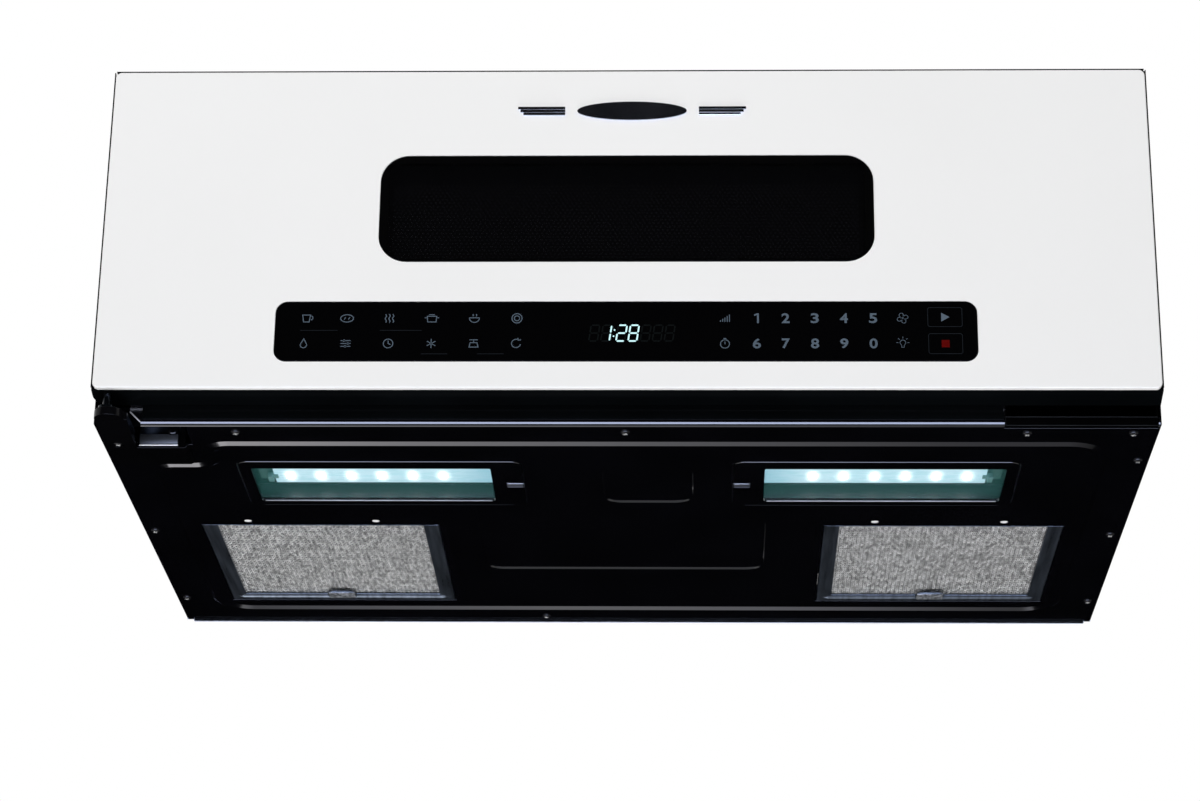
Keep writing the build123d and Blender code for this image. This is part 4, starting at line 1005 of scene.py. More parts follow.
class Sheet:
    """Flat work in planes that face the cook: prints, frames and small plates."""

    LEAST_MITRE = 0.45
    BOLD = 0.022
    EXTRUDE = 0.02

    def __init__(self, front: float, thick: float) -> None:
        """Start an empty mesh.

        Args:
            front: Y of the front faces in millimetres.
            thick: thickness in millimetres.
        """
        self.work = bmesh.new()
        self.front = front
        self.thick = thick
        self.finishes: list[str] = []

    def _index(self, finish: str) -> int:
        """Number of a finish on this piece."""
        if finish not in self.finishes:
            self.finishes.append(finish)
        return self.finishes.index(finish)

    def plate(self, outline: Sequence[Spot], finish: str) -> None:
        """Add a closed plate with a given outline.

        Args:
            outline: X and Z of its corners in millimetres.
            finish: name of its finish.
        """
        area = sum(a[0] * b[1] - b[0] * a[1] for a, b in zip(outline, [*outline[1:], outline[0]]))
        corners = list(outline) if area > 0 else list(reversed(outline))
        index = self._index(finish)
        near = [self.work.verts.new((x * MM, self.front * MM, z * MM)) for x, z in corners]
        back = self.front + self.thick
        far = [self.work.verts.new((x * MM, back * MM, z * MM)) for x, z in corners]
        faces = [self.work.faces.new(near), self.work.faces.new(tuple(reversed(far)))]
        for number in range(len(corners)):
            after = (number + 1) % len(corners)
            faces.append(self.work.faces.new((near[after], near[number], far[number], far[after])))
        for face in faces:
            face.material_index = index

    def ribbon(
        self,
        line: Sequence[Spot],
        width: float,
        finish: str,
        closed: bool = False,
    ) -> None:
        """Add a ribbon of one width along a line, with mitred corners.

        Args:
            line: X and Z of its points in millimetres.
            width: width in millimetres.
            finish: name of its finish.
            closed: whether the line comes back to its start.
        """
        points = [Vector(point) for point in line]
        count = len(points)
        sides = []
        for number, point in enumerate(points):
            before = points[number - 1] if number or closed else None
            after = points[(number + 1) % count] if number < count - 1 or closed else None
            come = (point - before).normalized() if before is not None else None
            go = (after - point).normalized() if after is not None else None
            along = ((come or go) + (go or come)).normalized()
            across = Vector((-along.y, along.x))
            lean = abs(along.dot(come or go))
            reach = width / 2 / max(self.LEAST_MITRE, lean)
            sides.append((point + across * reach, point - across * reach))
        stop = count if closed else count - 1
        for number in range(stop):
            near, far = sides[number], sides[(number + 1) % count]
            self.plate([near[0], near[1], far[1], far[0]], finish)

    def arc(
        self,
        middle: Spot,
        radius: float,
        width: float,
        finish: str,
        start: float = 0.0,
        stop: float = 360.0,
        squash: float = 1.0,
    ) -> None:
        """Add an arc or a ring.

        Args:
            middle: X and Z of its middle in millimetres.
            radius: middle radius in millimetres.
            width: width of the ribbon in millimetres.
            finish: name of its finish.
            start: first angle in degrees.
            stop: last angle in degrees.
            squash: height over width.
        """
        closed = abs(stop - start) >= 360
        steps = max(6, int(abs(stop - start) / 15))
        count = steps if closed else steps + 1
        line = []
        for number in range(count):
            angle = math.radians(start + (stop - start) * number / steps)
            x = middle[0] + radius * math.cos(angle)
            line.append((x, middle[1] + radius * squash * math.sin(angle)))
        self.ribbon(line, width, finish, closed)

    def disc(self, middle: Spot, radius: float, finish: str) -> None:
        """Add a round plate."""
        turns = [math.pi * number / 10 for number in range(20)]
        outline = [(middle[0] + radius * math.cos(a), middle[1] + radius * math.sin(a)) for a in turns]
        self.plate(outline, finish)

    def word(self, digits: str, middle: Spot, size: Span, finish: str) -> None:
        """Add digits in a plain bold face.

        Args:
            digits: the digits.
            middle: X and Z of the middle in millimetres.
            size: width and height in millimetres.
            finish: name of the finish.
        """
        curve = bpy.data.curves.new("digits", "FONT")
        curve.body = digits
        curve.offset = self.BOLD
        curve.extrude = self.EXTRUDE
        text = link("digits", curve)
        mesh = evaluated(text)
        bpy.data.objects.remove(text)
        corners = [vertex.co.copy() for vertex in mesh.vertices]
        low, high = (Vector(map(limit, zip(*corners))) for limit in (min, max))
        for vertex, corner in zip(mesh.vertices, corners):
            share = [(corner[axis] - low[axis]) / (high[axis] - low[axis]) for axis in range(3)]
            x = middle[0] + (share[0] - 0.5) * size[0]
            z = middle[1] + (share[1] - 0.5) * size[1]
            y = self.front + (1 - share[2]) * self.thick
            vertex.co = (x * MM, y * MM, z * MM)
        index = self._index(finish)
        for polygon in mesh.polygons:
            polygon.material_index = index
        self.work.from_mesh(mesh)

    def finish(self, name: str, body: str, slot: str, nodes: Sequence[str] = ()) -> bpy.types.Object:
        """End the work as one piece.

        Args:
            name: name of the piece.
            body: body that it rides on.
            slot: the record's material slot.
            nodes: CAD nodes that it replaces.

        Returns:
            The piece.
        """
        bmesh.ops.recalc_face_normals(self.work, faces=self.work.faces)
        piece = link(name, settle(self.work, name))
        for finish in self.finishes:
            piece.data.materials.append(FINISHES[finish])
        return dress(piece, "", body, slot, nodes)


class Lie(Enum):
    """How a rod lies, as its turn about X, Y and Z in degrees."""

    UPRIGHT = (0.0, 0.0, 0.0)
    ACROSS = (0.0, 90.0, 0.0)
    TO_THE_WALL = (90.0, 0.0, 0.0)
    CORNERWISE = (0.0, -45.0, 0.0)


class Blocks:
    """Small piece of several rounded blocks and rods, in millimetres."""

    def __init__(self) -> None:
        """Start an empty mesh."""
        self.work = bmesh.new()

    def block(self, x: Span, y: Span, z: Span, side: int = 1) -> "Blocks":
        """Add a block between two values on each axis, mirrored to the left where side is -1."""
        middle = Vector((side * (x[0] + x[1]) / 2, (y[0] + y[1]) / 2, (z[0] + z[1]) / 2)) * MM
        sizes = (abs(x[1] - x[0]) * MM, abs(y[1] - y[0]) * MM, abs(z[1] - z[0]) * MM, 1.0)
        place = Matrix.Translation(middle) @ Matrix.Diagonal(sizes)
        bmesh.ops.create_cube(self.work, size=1.0, matrix=place)
        return self

    def rod(
        self, middle: Point, radius: float, length: float, lie: Lie = Lie.UPRIGHT, side: int = 1
    ) -> "Blocks":
        """Add a rod about a middle point, mirrored to the left where side is -1."""
        place = Matrix.Translation(Vector((side * middle[0], middle[1], middle[2])) * MM)
        for axis, angle in zip("XYZ", lie.value):
            place = place @ Matrix.Rotation(math.radians(angle), 4, axis)
        bmesh.ops.create_cone(
            self.work,
            cap_ends=True,
            segments=24,
            radius1=radius * MM,
            radius2=radius * MM,
            depth=length * MM,
            matrix=place,
        )
        return self

    def finish(self, name: str, edge: float) -> bpy.types.Object:
        """End as one piece with rounded edges.

        Args:
            name: name of the piece.
            edge: radius of the edges in millimetres.

        Returns:
            The piece, not dressed yet.
        """
        piece = link(name, settle(self.work, name))
        round_edges(piece, edge, 30.0)
        shade_by_angle(piece.data, 35)
        return piece


# --------------------------------------------------------------------------- underside


@dataclass
class Underside:
    """The pressed black base with its screws, the hinge cover and the finger pocket.

    All sizes are in millimetres. A rod is given by its middle, radius and length.

    Attributes:
        front: Y of the door's front face.
        head: head of a screw.
        seats: X of each screw, and its distance from the front.
        cover_seat: seat of the sunk screw that holds the hinge cover.
        pin: head of the larger screw in the hinge's flange.
        pin_seat: its seat.
        flange_highlight: painted highlight along the lower edge of the hinge's flange.
        flange_sheen: box of the strip of painted sheen on the flange's face.
        plate_corner_highlight: painted highlight at the base plate's clipped front corner.
        lip_highlights: painted highlights along both level edges of the pocket's lip.
        lip_end_highlight: painted highlight along its upright edge.
        rear_paint: box of the paint on the rear panel's lower lip.
        front_paint: box of the matt paint on the base plate's front flange.
        clip_spots: X of each tab hole.
        clip_half: half of a leaf spring's width.
        clip_y: Y of a leaf spring's two ends.
        clip_z: Z of its two faces.
        clip_boss: Y and Z of the middle of the boss that shows in the hole.
        clip_boss_size: radius and height of the boss.
    """

    front: float = -467.0
    head: CrossHead = CrossHead(3.6, 1.55)
    seats: tuple[Spot, ...] = (
        (-279.4, 35.0),
        (0.0, 35.0),
        (286.0, 36.4),
        (361.3, 36.4),
        (371.0, 90.0),
        (370.0, 250.0),
        (371.0, 412.4),
        (-371.0, 244.6),
        (-371.0, 409.0),
        (-75.4, 455.0),
    )
    cover_seat: Point = (-367.0, -414.0, -1.8)
    pin: CrossHead = CrossHead(4.2, 2.6)
    pin_seat: Point = (-328.6, -409.6, 9.9)
    # painted highlight and painted sheen on the lower hinge's flange
    flange_highlight: Rod = ((-338.3, -409.9, -1.4), 0.5, 28.0)
    flange_sheen: Box = ((-352.2, -324.4), (-410.4, -409.9), (-0.4, 6.9))
    # painted highlights: rods along the base plate's clipped corner and the pocket lip's edges
    plate_corner_highlight: Rod = ((-350.0, -445.1, 6.5), 0.5, 11.0)
    lip_highlights: tuple[Rod, Rod] = (((323.2, -445.0, 6.9), 0.32, 107.0), ((323.2, -445.0, 0.5), 0.28, 107.0))
    lip_end_highlight: Rod = ((269.7, -445.0, 3.7), 0.25, 6.2)
    rear_paint: Box = ((-373.5, 373.5), (-1.35, -1.05), (-1.8, -0.1))
    front_paint: Box = ((-345.0, 268.6), (-445.25, -444.9), (4.8, 17.5))
    clip_spots: tuple[float, ...] = (-295.5, -196.5, 187.3, 286.0)
    clip_half: float = 4.5
    clip_y: Span = (-250.0, -238.6)
    clip_z: Span = (1.35, 2.1)
    clip_boss: Span = (-244.9, 0.75)
    clip_boss_size: Span = (2.9, 1.4)

    def build(self) -> None:
        """Make and dress every piece."""
        carry("base_plate", Coat("black_enamel", "black_paint", 0.35, 22.0))
        carry("hinge_cover", Coat("glossy_plastic", "black_plastic", 0.7, 30.0))
        carry("handle_pocket", Coat("pocket_plastic", "black_plastic", 0.5))
        # the lower hinge's near-black colour is painted shade of its recess
        carry("lower_hinge", Coat("shaded_bracket_steel", "zinc_steel", 0.25))
        self._screws()
        self._flange()
        self._clips()
        self._edges()

    def _screws(self) -> None:
        """Place the screws of the base, and the bright crosses in their recesses, which are painted glints.
        """
        spots = [(x, self.front + y, 0.0) for x, y in self.seats] + [self.cover_seat]
        screws = SCATTER.place("base_screw_heads", self.head.shape(), spots, Way.DOWN, "black_screw")
        dress(screws, "", "cabinet", "dark_steel", ["base_screws"])
        glints = SCATTER.place("base_screw_glints", self.head.cross(), spots, Way.DOWN, "screw_glint")
        dress(glints, "", "cabinet", "dark_steel")

    def _flange(self) -> None:
        """Make the screw of the lower hinge's flange, a painted highlight along its lower edge and a strip of
        painted sheen on its face.
        """
        pin = SCATTER.place("hinge_flange_screw", self.pin.shape(), [self.pin_seat], Way.FRONT, "black_screw")
        dress(pin, "", "cabinet", "zinc_steel")
        # painted highlight: a pale rod along the flange's lower edge
        edge = Blocks().rod(*self.flange_highlight, Lie.ACROSS)
        dress(edge.finish("hinge_flange_edge", 0.1), "steel_and_painted_highlight", "cabinet", "zinc_steel")
        # painted sheen: a greyer strip on the flange's face
        strip = Blocks().block(*self.flange_sheen)
        dress(strip.finish("hinge_flange_strip", 0.15), "sheen_painted_steel", "cabinet", "zinc_steel")

    def _edges(self) -> None:
        """Make the painted highlights, rods of pale paint along edges that stand for the light the edges
        catch, and the matt paint on two flanges.
        """
        # painted highlight along the clipped corner of the base plate's front wall
        corner = Blocks().rod(*self.plate_corner_highlight, Lie.CORNERWISE)
        dress(corner.finish("base_corner_edge", 0.1), "edge_highlight_paint", "cabinet", "black_paint")
        # painted highlights along the pocket lip's edges
        lines = Blocks()
        for edge in self.lip_highlights:
            lines.rod(*edge, Lie.ACROSS)
        lines.rod(*self.lip_end_highlight)
        dress(lines.finish("pocket_lip_edges", 0.06), "faint_edge_highlight", "cabinet", "black_plastic")
        for name, box in (("rear_lip_paint", self.rear_paint), ("front_flange_paint", self.front_paint)):
            paint = Blocks().block(*box)
            dress(paint.finish(name, 0.05), "door_edge_enamel", "cabinet", "black_paint")

    def _clips(self) -> None:
        """Make the leaf springs whose near-white bosses show in the tab holes; their brightness is partly a
        painted highlight for the light that shines in the holes.
        """
        # the bosses' near-white paint is partly a painted highlight for light in the tab holes
        leaf = Blocks()
        for x in self.clip_spots:
            leaf.block((x - self.clip_half, x + self.clip_half), self.clip_y, self.clip_z)
            leaf.rod((x, *self.clip_boss), *self.clip_boss_size)
        dress(leaf.finish("filter_clips", 0.25), "steel_and_painted_highlight", "cabinet", "zinc_steel")


@dataclass
class Lamps:
    """Both task lamps: liner, board, diodes, connector, hinged cover and its glass.

    All sizes are in millimetres. The boxes and rods are those of the right lamp, mirrored for the left.

    Attributes:
        middles: distance of each row's middle from the centre, left and right.
        pitch: distance between diodes.
        count: diodes in a row.
        row: Y of the row.
        board_face: Z of the board's lower face.
        diode_half: half of a diode's side.
        diode_rise: height of its square base.
        dome: radius and height of its round lens.
        tongue: box of the spring tongue.
        tongue_tip: its rolled tip.
        plug: box of the connector's shell.
        plug_nose: box of the connector's nose, towards the board.
        pane_edge: worn edge beside the glass.
        cover_edge: worn edge along the cover's outside.
    """

    middles: Span = (198.1, 195.8)
    pitch: float = 23.1
    count: int = 6
    row: float = -304.0
    board_face: float = 15.0
    diode_half: float = 2.6
    diode_rise: float = 0.9
    dome: Span = (3.1, 1.2)
    tongue: Box = ((77.8, 90.5), (-327.6, -319.4), (-0.1, 0.35))
    tongue_tip: Rod = ((78.4, -323.5, 0.5), 0.55, 8.2)
    plug: Box = ((268.5, 272.6), (-310.0, -300.0), (11.5, 15.8))
    plug_nose: Box = ((265.0, 268.5), (-308.0, -302.0), (13.6, 14.8))
    pane_highlight: Rod = ((189.5, -292.9, -0.75), 0.4, 172.0)
    cover_highlight: Rod = ((182.5, -283.4, -0.6), 0.2, 190.0)

    def build(self) -> None:
        """Make and dress every piece."""
        # the lamp boxes' colour holds painted lamp light and painted shade
        carry("lamp_boxes", Coat("lamp_liner", "black_paint", 0.3))
        middles = (self.middles[0] * MM, self.middles[1] * MM)
        # the boards get the diodes' light as a painted glow
        FINISHES.add(GlowPaintedBoard("glow_painted_board", middles, self.pitch * MM, self.row * MM))
        carry("led_boards", Coat("glow_painted_board", "lamp_board"))
        self._diodes()
        for side, word in ((-1, "left"), (1, "right")):
            body = f"lamp_door_{word}"
            carry(f"lamp_cover_{word}", Coat("black_enamel", "black_paint", 0.0, 30.0))
            carry(f"lamp_glass_{word}", Coat("lamp_pane", "lamp_glass", 0.3))
            self._tongue(side, word, body)
            self._connector(side, word)
            self._edge_highlights(side, word, body)

    def _diodes(self) -> None:
        """Place the diodes on both boards."""
        side_span = (-self.diode_half, self.diode_half)
        shape = Blocks().block(side_span, side_span, (0.0, self.diode_rise)).rod((0.0, 0.0, 1.0), *self.dome)
        piece = shape.finish("diode_shape", 0.25)
        spots = []
        for side, middle in zip((-1, 1), self.middles):
            for index in range(self.count):
                along = middle + (index - (self.count - 1) / 2) * self.pitch
                spots.append((side * along, self.row, self.board_face))
        diodes = SCATTER.place("lamp_diodes", piece, spots, Way.DOWN, "diode_light", 0.0)
        dress(diodes, "", "cabinet", "lamp_board")

    def _tongue(self, side: int, word: str, body: str) -> None:
        """Make the bright spring tongue that shows in the slot at a cover's inner end."""
        spring = Blocks().block(*self.tongue, side).rod(*self.tongue_tip, Lie.TO_THE_WALL, side)
        dress(spring.finish(f"cover_tongue_{word}", 0.12), "zinc_steel", body, "zinc_steel")

    def _connector(self, side: int, word: str) -> None:
        """Make the small connector at a board's outer end."""
        shell = Blocks().block(*self.plug, side).block(*self.plug_nose, side)
        dress(shell.finish(f"lamp_plug_{word}", 0.4), "plug_plastic", "cabinet", "white_plastic")

    def _edge_highlights(self, side: int, word: str, body: str) -> None:
        """Make the thin painted highlights along a cover's edges: beside the glass, and along its outside.

        Args:
            side: -1 for the left lamp, 1 for the right one.
            word: the side in words.
            body: body of the cover.
        """
        # painted highlights: a pale rod beside the glass and a faint one along the outside
        pane = Blocks().rod(*self.pane_highlight, Lie.ACROSS, side)
        dress(pane.finish(f"pane_edge_{word}", 0.08), "edge_highlight_paint", body, "black_paint")
        outside = Blocks().rod(*self.cover_highlight, Lie.ACROSS, side)
        dress(outside.finish(f"cover_edge_{word}", 0.06), "faint_edge_highlight", body, "black_paint")


class ExpandedMesh(Sprout):
    """Zigzag wires that make the diamonds of expanded aluminium mesh."""

    CRUMPLE = 190.0

    def __init__(self) -> None:
        """Build the tree."""
        super().__init__("expanded_mesh")
        length = self.given("Length", "Float")
        steps = self.given("Steps", "Int")
        rows = self.given("Rows", "Int")
        pitch = self.given("Pitch", "Float")
        swing = self.given("Swing", "Float")
        lift = self.given("Lift", "Float")
        strand = self.given("Strand", "Float")
        uneven = self.given("Uneven", "Float")
        corner = self.given("Corner", "Vector")

        line = self.node("GeometryNodeCurvePrimitiveLine", None, {"End": self.vector(y=length)})
        line = self.node("GeometryNodeResampleCurve", None, {"Curve": line, "Count": steps})
        index = self.node("GeometryNodeInputIndex")
        parity = self.maths("MODULO", index, 2.0)
        zigzag = self.maths("SUBTRACT", self.maths("MULTIPLY", parity, 2.0), 1.0)
        sway = self.maths("MULTIPLY", zigzag, swing)
        rise = self.maths("MULTIPLY", parity, lift)
        right = self._wire(line, self.vector(x=sway, z=rise), strand)
        left = self._wire(line, self.vector(x=self.maths("MULTIPLY", sway, -1.0)), strand)
        beside = self.vector(x=pitch)
        left = self.node("GeometryNodeTransform", None, {"Geometry": left, "Translation": beside})
        pair = self.node("GeometryNodeJoinGeometry")
        join = pair.node
        self.tree.links.new(right, join.inputs[0])
        self.tree.links.new(left, join.inputs[0])
        across = self.node(
            "GeometryNodeMeshLine",
            {"mode": "OFFSET"},
            {
                "Count": rows,
                "Start Location": corner,
                "Offset": self.vector(x=self.maths("MULTIPLY", pitch, 2.0)),
            },
        )
        layer = self.node("GeometryNodeInstanceOnPoints", None, {"Points": across, "Instance": pair})
        flat = self.node("GeometryNodeRealizeInstances", None, {"Geometry": layer})
        noise = self.node(
            "ShaderNodeTexNoise", {"noise_dimensions": "3D"}, {"Scale": self.CRUMPLE, "Detail": 2.0}, "Color"
        )
        centred = self.node("ShaderNodeVectorMath", {"operation": "SUBTRACT"}, {0: noise, 1: (0.5, 0.5, 0.5)})
        push = self.node("ShaderNodeVectorMath", {"operation": "SCALE"}, {0: centred, "Scale": uneven})
        self.close(self.node("GeometryNodeSetPosition", None, {"Geometry": flat, "Offset": push}))

    def _wire(
        self, line: bpy.types.NodeSocket, offset: bpy.types.NodeSocket, strand: bpy.types.NodeSocket
    ) -> bpy.types.NodeSocket:
        """Bend the line by an offset and give it a four sided section."""
        bent = self.node("GeometryNodeSetPosition", None, {"Geometry": line, "Offset": offset})
        section = self.node(
            "GeometryNodeCurvePrimitiveCircle", {"mode": "RADIUS"}, {"Resolution": 3, "Radius": strand}
        )
        return self.node("GeometryNodeCurveToMesh", None, {"Curve": bent, "Profile Curve": section})


@dataclass
class GreaseFilters:
    """Both aluminium filters: the channel frame, its pull tab, and the pad of expanded mesh.

    All sizes are in millimetres.

    Attributes:
        inner: X of the field's inner edge, inside the rail.
        outer: X of its outer edge.
        near: Y of its front edge.
        far: Y of its rear edge.
        face: Z of the lowest wires.
        pitch: distance between two wires.
        cell: length of half a diamond.
        swing: sideways swing of a wire as a share of the pitch.
        lift: height by which every second bend of a wire stands back.
        strand: radius of a wire.
        uneven: how far the mesh is crumpled.
        margin: room left beside the outer wires.
        inset: X and Y of the first wire's start from the field's corner.
        tab_half: half of the pull tab's width.
        tab_y: Y of the tab's two ends.
        tab_z: Z of the two faces of its plain sheet.
        pad_depth: height of the crumpled slab's face over the lowest wires.
        pad_top: Z of the slab's rear face.
        pad_cells: cells of the slab along each side.
        pad_ripples: height of both ripples, and how fast they turn in radians per millimetre.
    """

    inner: float = 150.6
    outer: float = 330.4
    near: float = -233.6
    far: float = -56.4
    face: float = 1.9
    pitch: float = 1.65
    cell: float = 2.5
    swing: float = 0.44
    lift: float = 1.2
    strand: float = 0.46
    uneven: float = 1.5
    margin: float = 1.5
    inset: Span = (1.2, 0.8)
    tab_half: float = 10.6
    tab_y: Span = (-79.2, -65.8)
    tab_z: Span = (-2.75, -2.3)
    pad_depth: float = 1.9
    pad_top: float = 7.2
    pad_cells: int = 72
    pad_ripples: tuple[Span, Span] = ((0.25, 2.3), (0.2, 1.7))

    def build(self) -> None:
        """Make and dress every piece."""
        weave = ExpandedMesh()
        for side, word in ((-1, "left"), (1, "right")):
            body = f"filter_{word}"
            carry(f"filter_frame_{word}", Coat("rail_aluminium", "aluminium_frame", 0.3, 40.0))
            middle = side * (self.inner + self.outer) / 2
            tab = Blocks().block((middle - self.tab_half, middle + self.tab_half), self.tab_y, self.tab_z)
            dress(tab.finish(f"filter_tab_face_{word}", 0.2), "tab_aluminium", body, "aluminium_frame")
            self._mesh(weave, side, word, body)

    def _mesh(self, weave: ExpandedMesh, side: int, word: str, body: str) -> None:
        """Grow the mesh of one filter, and make the crumpled layers behind it."""
        low, high = sorted((side * self.inner, side * self.outer))
        rows = int((high - low - self.margin) / (2 * self.pitch))
        length = self.far - self.near - self.margin
        values = {
            "Length": length * MM,
            "Steps": int(length / self.cell),
            "Rows": rows,
            "Pitch": self.pitch * MM,
            "Swing": self.pitch * self.swing * MM,
            "Lift": self.lift * MM,
            "Strand": self.strand * MM,
            "Uneven": self.uneven * MM,
            "Corner": ((low + self.inset[0]) * MM, (self.near + self.inset[1]) * MM, self.face * MM),
            "Finish": FINISHES["mesh_aluminium"],
        }
        piece = weave.grow(f"mesh_face_{word}", values)
        dress(piece, "", body, "aluminium_mesh")
        pad = self._pad(f"mesh_pad_{word}", (low, high))
        # the slab stands for the deeper layers, with painted shade in its darker colour
        dress(pad, "shaded_mesh_backing", body, "aluminium_mesh", [f"filter_mesh_{word}"])

    def _pad(self, name: str, span: Span) -> bpy.types.Object:
        """Make the crumpled slab of the deeper layers, coloured darker than the face wires as painted shade
        in the filter's depth.

        Args:
            name: name of the piece.
            span: X of its two sides in millimetres.

        Returns:
            The slab.
        """
        work = bmesh.new()
        bmesh.ops.create_grid(work, x_segments=self.pad_cells, y_segments=self.pad_cells, size=0.5)
        low, high = span
        (tall, along), (small, across) = self.pad_ripples
        for vertex in work.verts:
            x = (low + high) / 2 + vertex.co.x * (high - low)
            y = (self.near + self.far) / 2 + vertex.co.y * (self.far - self.near)
            ripple = tall * math.sin(x * along) + small * math.sin(y * across + x)
            vertex.co = (x * MM, y * MM, (self.face + self.pad_depth + ripple) * MM)
        middle = Vector((low + high, self.near + self.far)) * (MM / 2)
        rim = [vertex for vertex in work.verts if vertex.is_boundary]
        rim.sort(key=lambda vertex: math.atan2(vertex.co.y - middle.y, vertex.co.x - middle.x))
        rear = [work.verts.new((vertex.co.x, vertex.co.y, self.pad_top * MM)) for vertex in rim]
        for index in range(len(rim)):
            work.faces.new((rim[index - 1], rim[index], rear[index], rear[index - 1]))
        work.faces.new(rear)
        bmesh.ops.recalc_face_normals(work, faces=work.faces)
        mesh = settle(work, name)
        shade_by_angle(mesh, 50)
        return link(name, mesh)


# --------------------------------------------------------------------------- door


class Sign(Enum):
    """Plain pictograms printed on the control glass."""

    CUP = "cup"
    OVAL = "oval"
    STEAM = "steam"
    POT = "pot"
    CLOCK = "clock"
    SLIDERS = "sliders"
    PLATE = "plate"
    DROP = "drop"
    BOWL = "bowl"
    SCALE = "scale"
    FLAKE = "flake"
    RETURN = "return"
    POWER = "power"
    TIMER = "timer"
    FAN = "fan"
    BULB = "bulb"


@dataclass
class Pictograms:
    """Draws the pictograms on a sheet.

    Attributes:
        sheet: the sheet that they are drawn on.
        ink: name of the ink.
        line: width of the lines in millimetres.
        middle: X and Z of the middle of the pictogram that is being drawn.
    """

    sheet: Sheet
    ink: str = "legend_ink"
    line: float = 0.62
    middle: Spot = (0.0, 0.0)

    def draw(self, sign: Sign, middle: Spot) -> None:
        """Draw one pictogram about a middle point."""
        self.middle = middle
        getattr(self, f"_{sign.value}")()

    def _at(self, x: float, z: float) -> Spot:
        """Place of a point that is given from the middle."""
        return self.middle[0] + x, self.middle[1] + z

    def _line(self, *points: Spot, closed: bool = False) -> None:
        """Draw a line through points given from the middle."""
        self.sheet.ribbon([self._at(*point) for point in points], self.line, self.ink, closed)

    def _arc(self, x: float, z: float, radius: float, *angles: float, squash: float = 1.0) -> None:
        """Draw an arc or a ring."""
        self.sheet.arc(self._at(x, z), radius, self.line, self.ink, *angles, squash=squash)

    def _cup(self) -> None:
        """A cup with a handle."""
        self._line((-3.2, 2.6), (-2.4, -2.8), (1.6, -2.8), (2.4, 2.6), closed=True)
        self._arc(2.6, 0.4, 1.6, -80.0, 80.0)

    def _oval(self) -> None:
        """An oval with two cuts."""
        self._arc(0.0, 0.0, 4.6, squash=0.62)
        for place in (-1.5, 1.5):
            self._line((place - 0.5, -0.9), (place + 0.5, 0.9))

    def _steam(self) -> None:
        """Three rising waves."""
        for place in (-2.6, 0.0, 2.6):
            waves = [(place + 0.5 * math.sin(step * 1.25), -3.2 + step * 0.8) for step in range(9)]
            self._line(*waves)

    def _pot(self) -> None:
        """A pot with two ears."""
        self._line((-3.4, 1.6), (-3.0, -2.8), (3.0, -2.8), (3.4, 1.6), closed=True)
        for end in (-1, 1):
            self._line((end * 3.7, 0.4), (end * 5.2, 0.4))
        self._line((-2.0, 2.8), (2.0, 2.8))

    def _clock(self) -> None:
        """A clock face."""
        self._arc(0.0, 0.0, 3.4)
        self._line((0.0, 2.2), (0.0, 0.0), (1.7, -0.9))

    def _sliders(self) -> None:
        """Three sliders."""
        for row, knob in ((2.2, -1.2), (0.0, 1.6), (-2.2, -0.2)):
            self._line((-3.6, row), (3.6, row))
            self.sheet.disc(self._at(knob, row), 0.85, self.ink)

    def _plate(self) -> None:
        """Two rings."""
        self._arc(0.0, 0.0, 3.6)
        self._arc(0.0, 0.0, 1.9)

    def _drop(self) -> None:
        """A drop."""
        self._line((-2.3, -0.7), (0.0, 3.6), (2.3, -0.7))
        self._arc(0.0, -1.0, 2.3, 172.0, 368.0)

    def _bowl(self) -> None:
        """A bowl with two waves above it."""
        self._arc(0.0, 0.4, 3.6, 180.0, 360.0)
        self._line((-3.6, 0.4), (3.6, 0.4))
        for place in (-1.2, 1.2):
            self._line((place, 1.6), (place + 0.4, 2.4), (place, 3.3))

    def _scale(self) -> None:
        """A scale."""
        self._line((-3.2, -2.8), (3.2, -2.8), (2.4, 0.6), (-2.4, 0.6), closed=True)
        self._line((0.0, 0.8), (0.0, 2.6))
        self._line((-3.0, 2.8), (3.0, 2.8))

    def _flake(self) -> None:
        """A six armed flake."""
        for turn in range(3):
            angle = math.radians(30 + 60 * turn)
            reach = (3.5 * math.cos(angle), 3.5 * math.sin(angle))
            self._line((-reach[0], -reach[1]), reach)

    def _return(self) -> None:
        """A ring with an arrow head."""
        self._arc(0.0, 0.0, 3.2, 60.0, 350.0)
        self._line((1.2, 4.3), (1.7, 2.5), (3.5, 2.9))

    def _power(self) -> None:
        """Bars of rising height."""
        for step in range(5):
            self._line((-3.2 + step * 1.6, -2.8), (-3.2 + step * 1.6, -1.6 + step * 1.1))

    def _timer(self) -> None:
        """A clock with a knob."""
        self._arc(0.0, -0.4, 3.2)
        self._line((-1.0, 3.8), (1.0, 3.8))
        self._line((0.0, 1.4), (0.0, -0.6))

    def _fan(self) -> None:
        """Four blades about a hub."""
        for turn in range(4):
            lean = 20.0 + 90.0 * turn
            angle = math.radians(lean)
            self._arc(2.5 * math.cos(angle), 2.5 * math.sin(angle), 1.5, lean - 150.0, lean + 130.0)
            self._line((0.0, 0.0), (0.9 * math.cos(angle + 0.5), 0.9 * math.sin(angle + 0.5)))

    def _bulb(self) -> None:
        """A bulb with rays."""
        self._arc(0.0, 0.6, 2.0, -60.0, 240.0)
        self._line((-0.9, -1.3), (-0.9, -3.0), (0.9, -3.0), (0.9, -1.3))
        for turn in range(5):
            angle = math.radians(turn * 45)
            near = (3.2 * math.cos(angle), 0.6 + 3.2 * math.sin(angle))
            far = (4.6 * math.cos(angle), 0.6 + 4.6 * math.sin(angle))
            self._line(near, far)


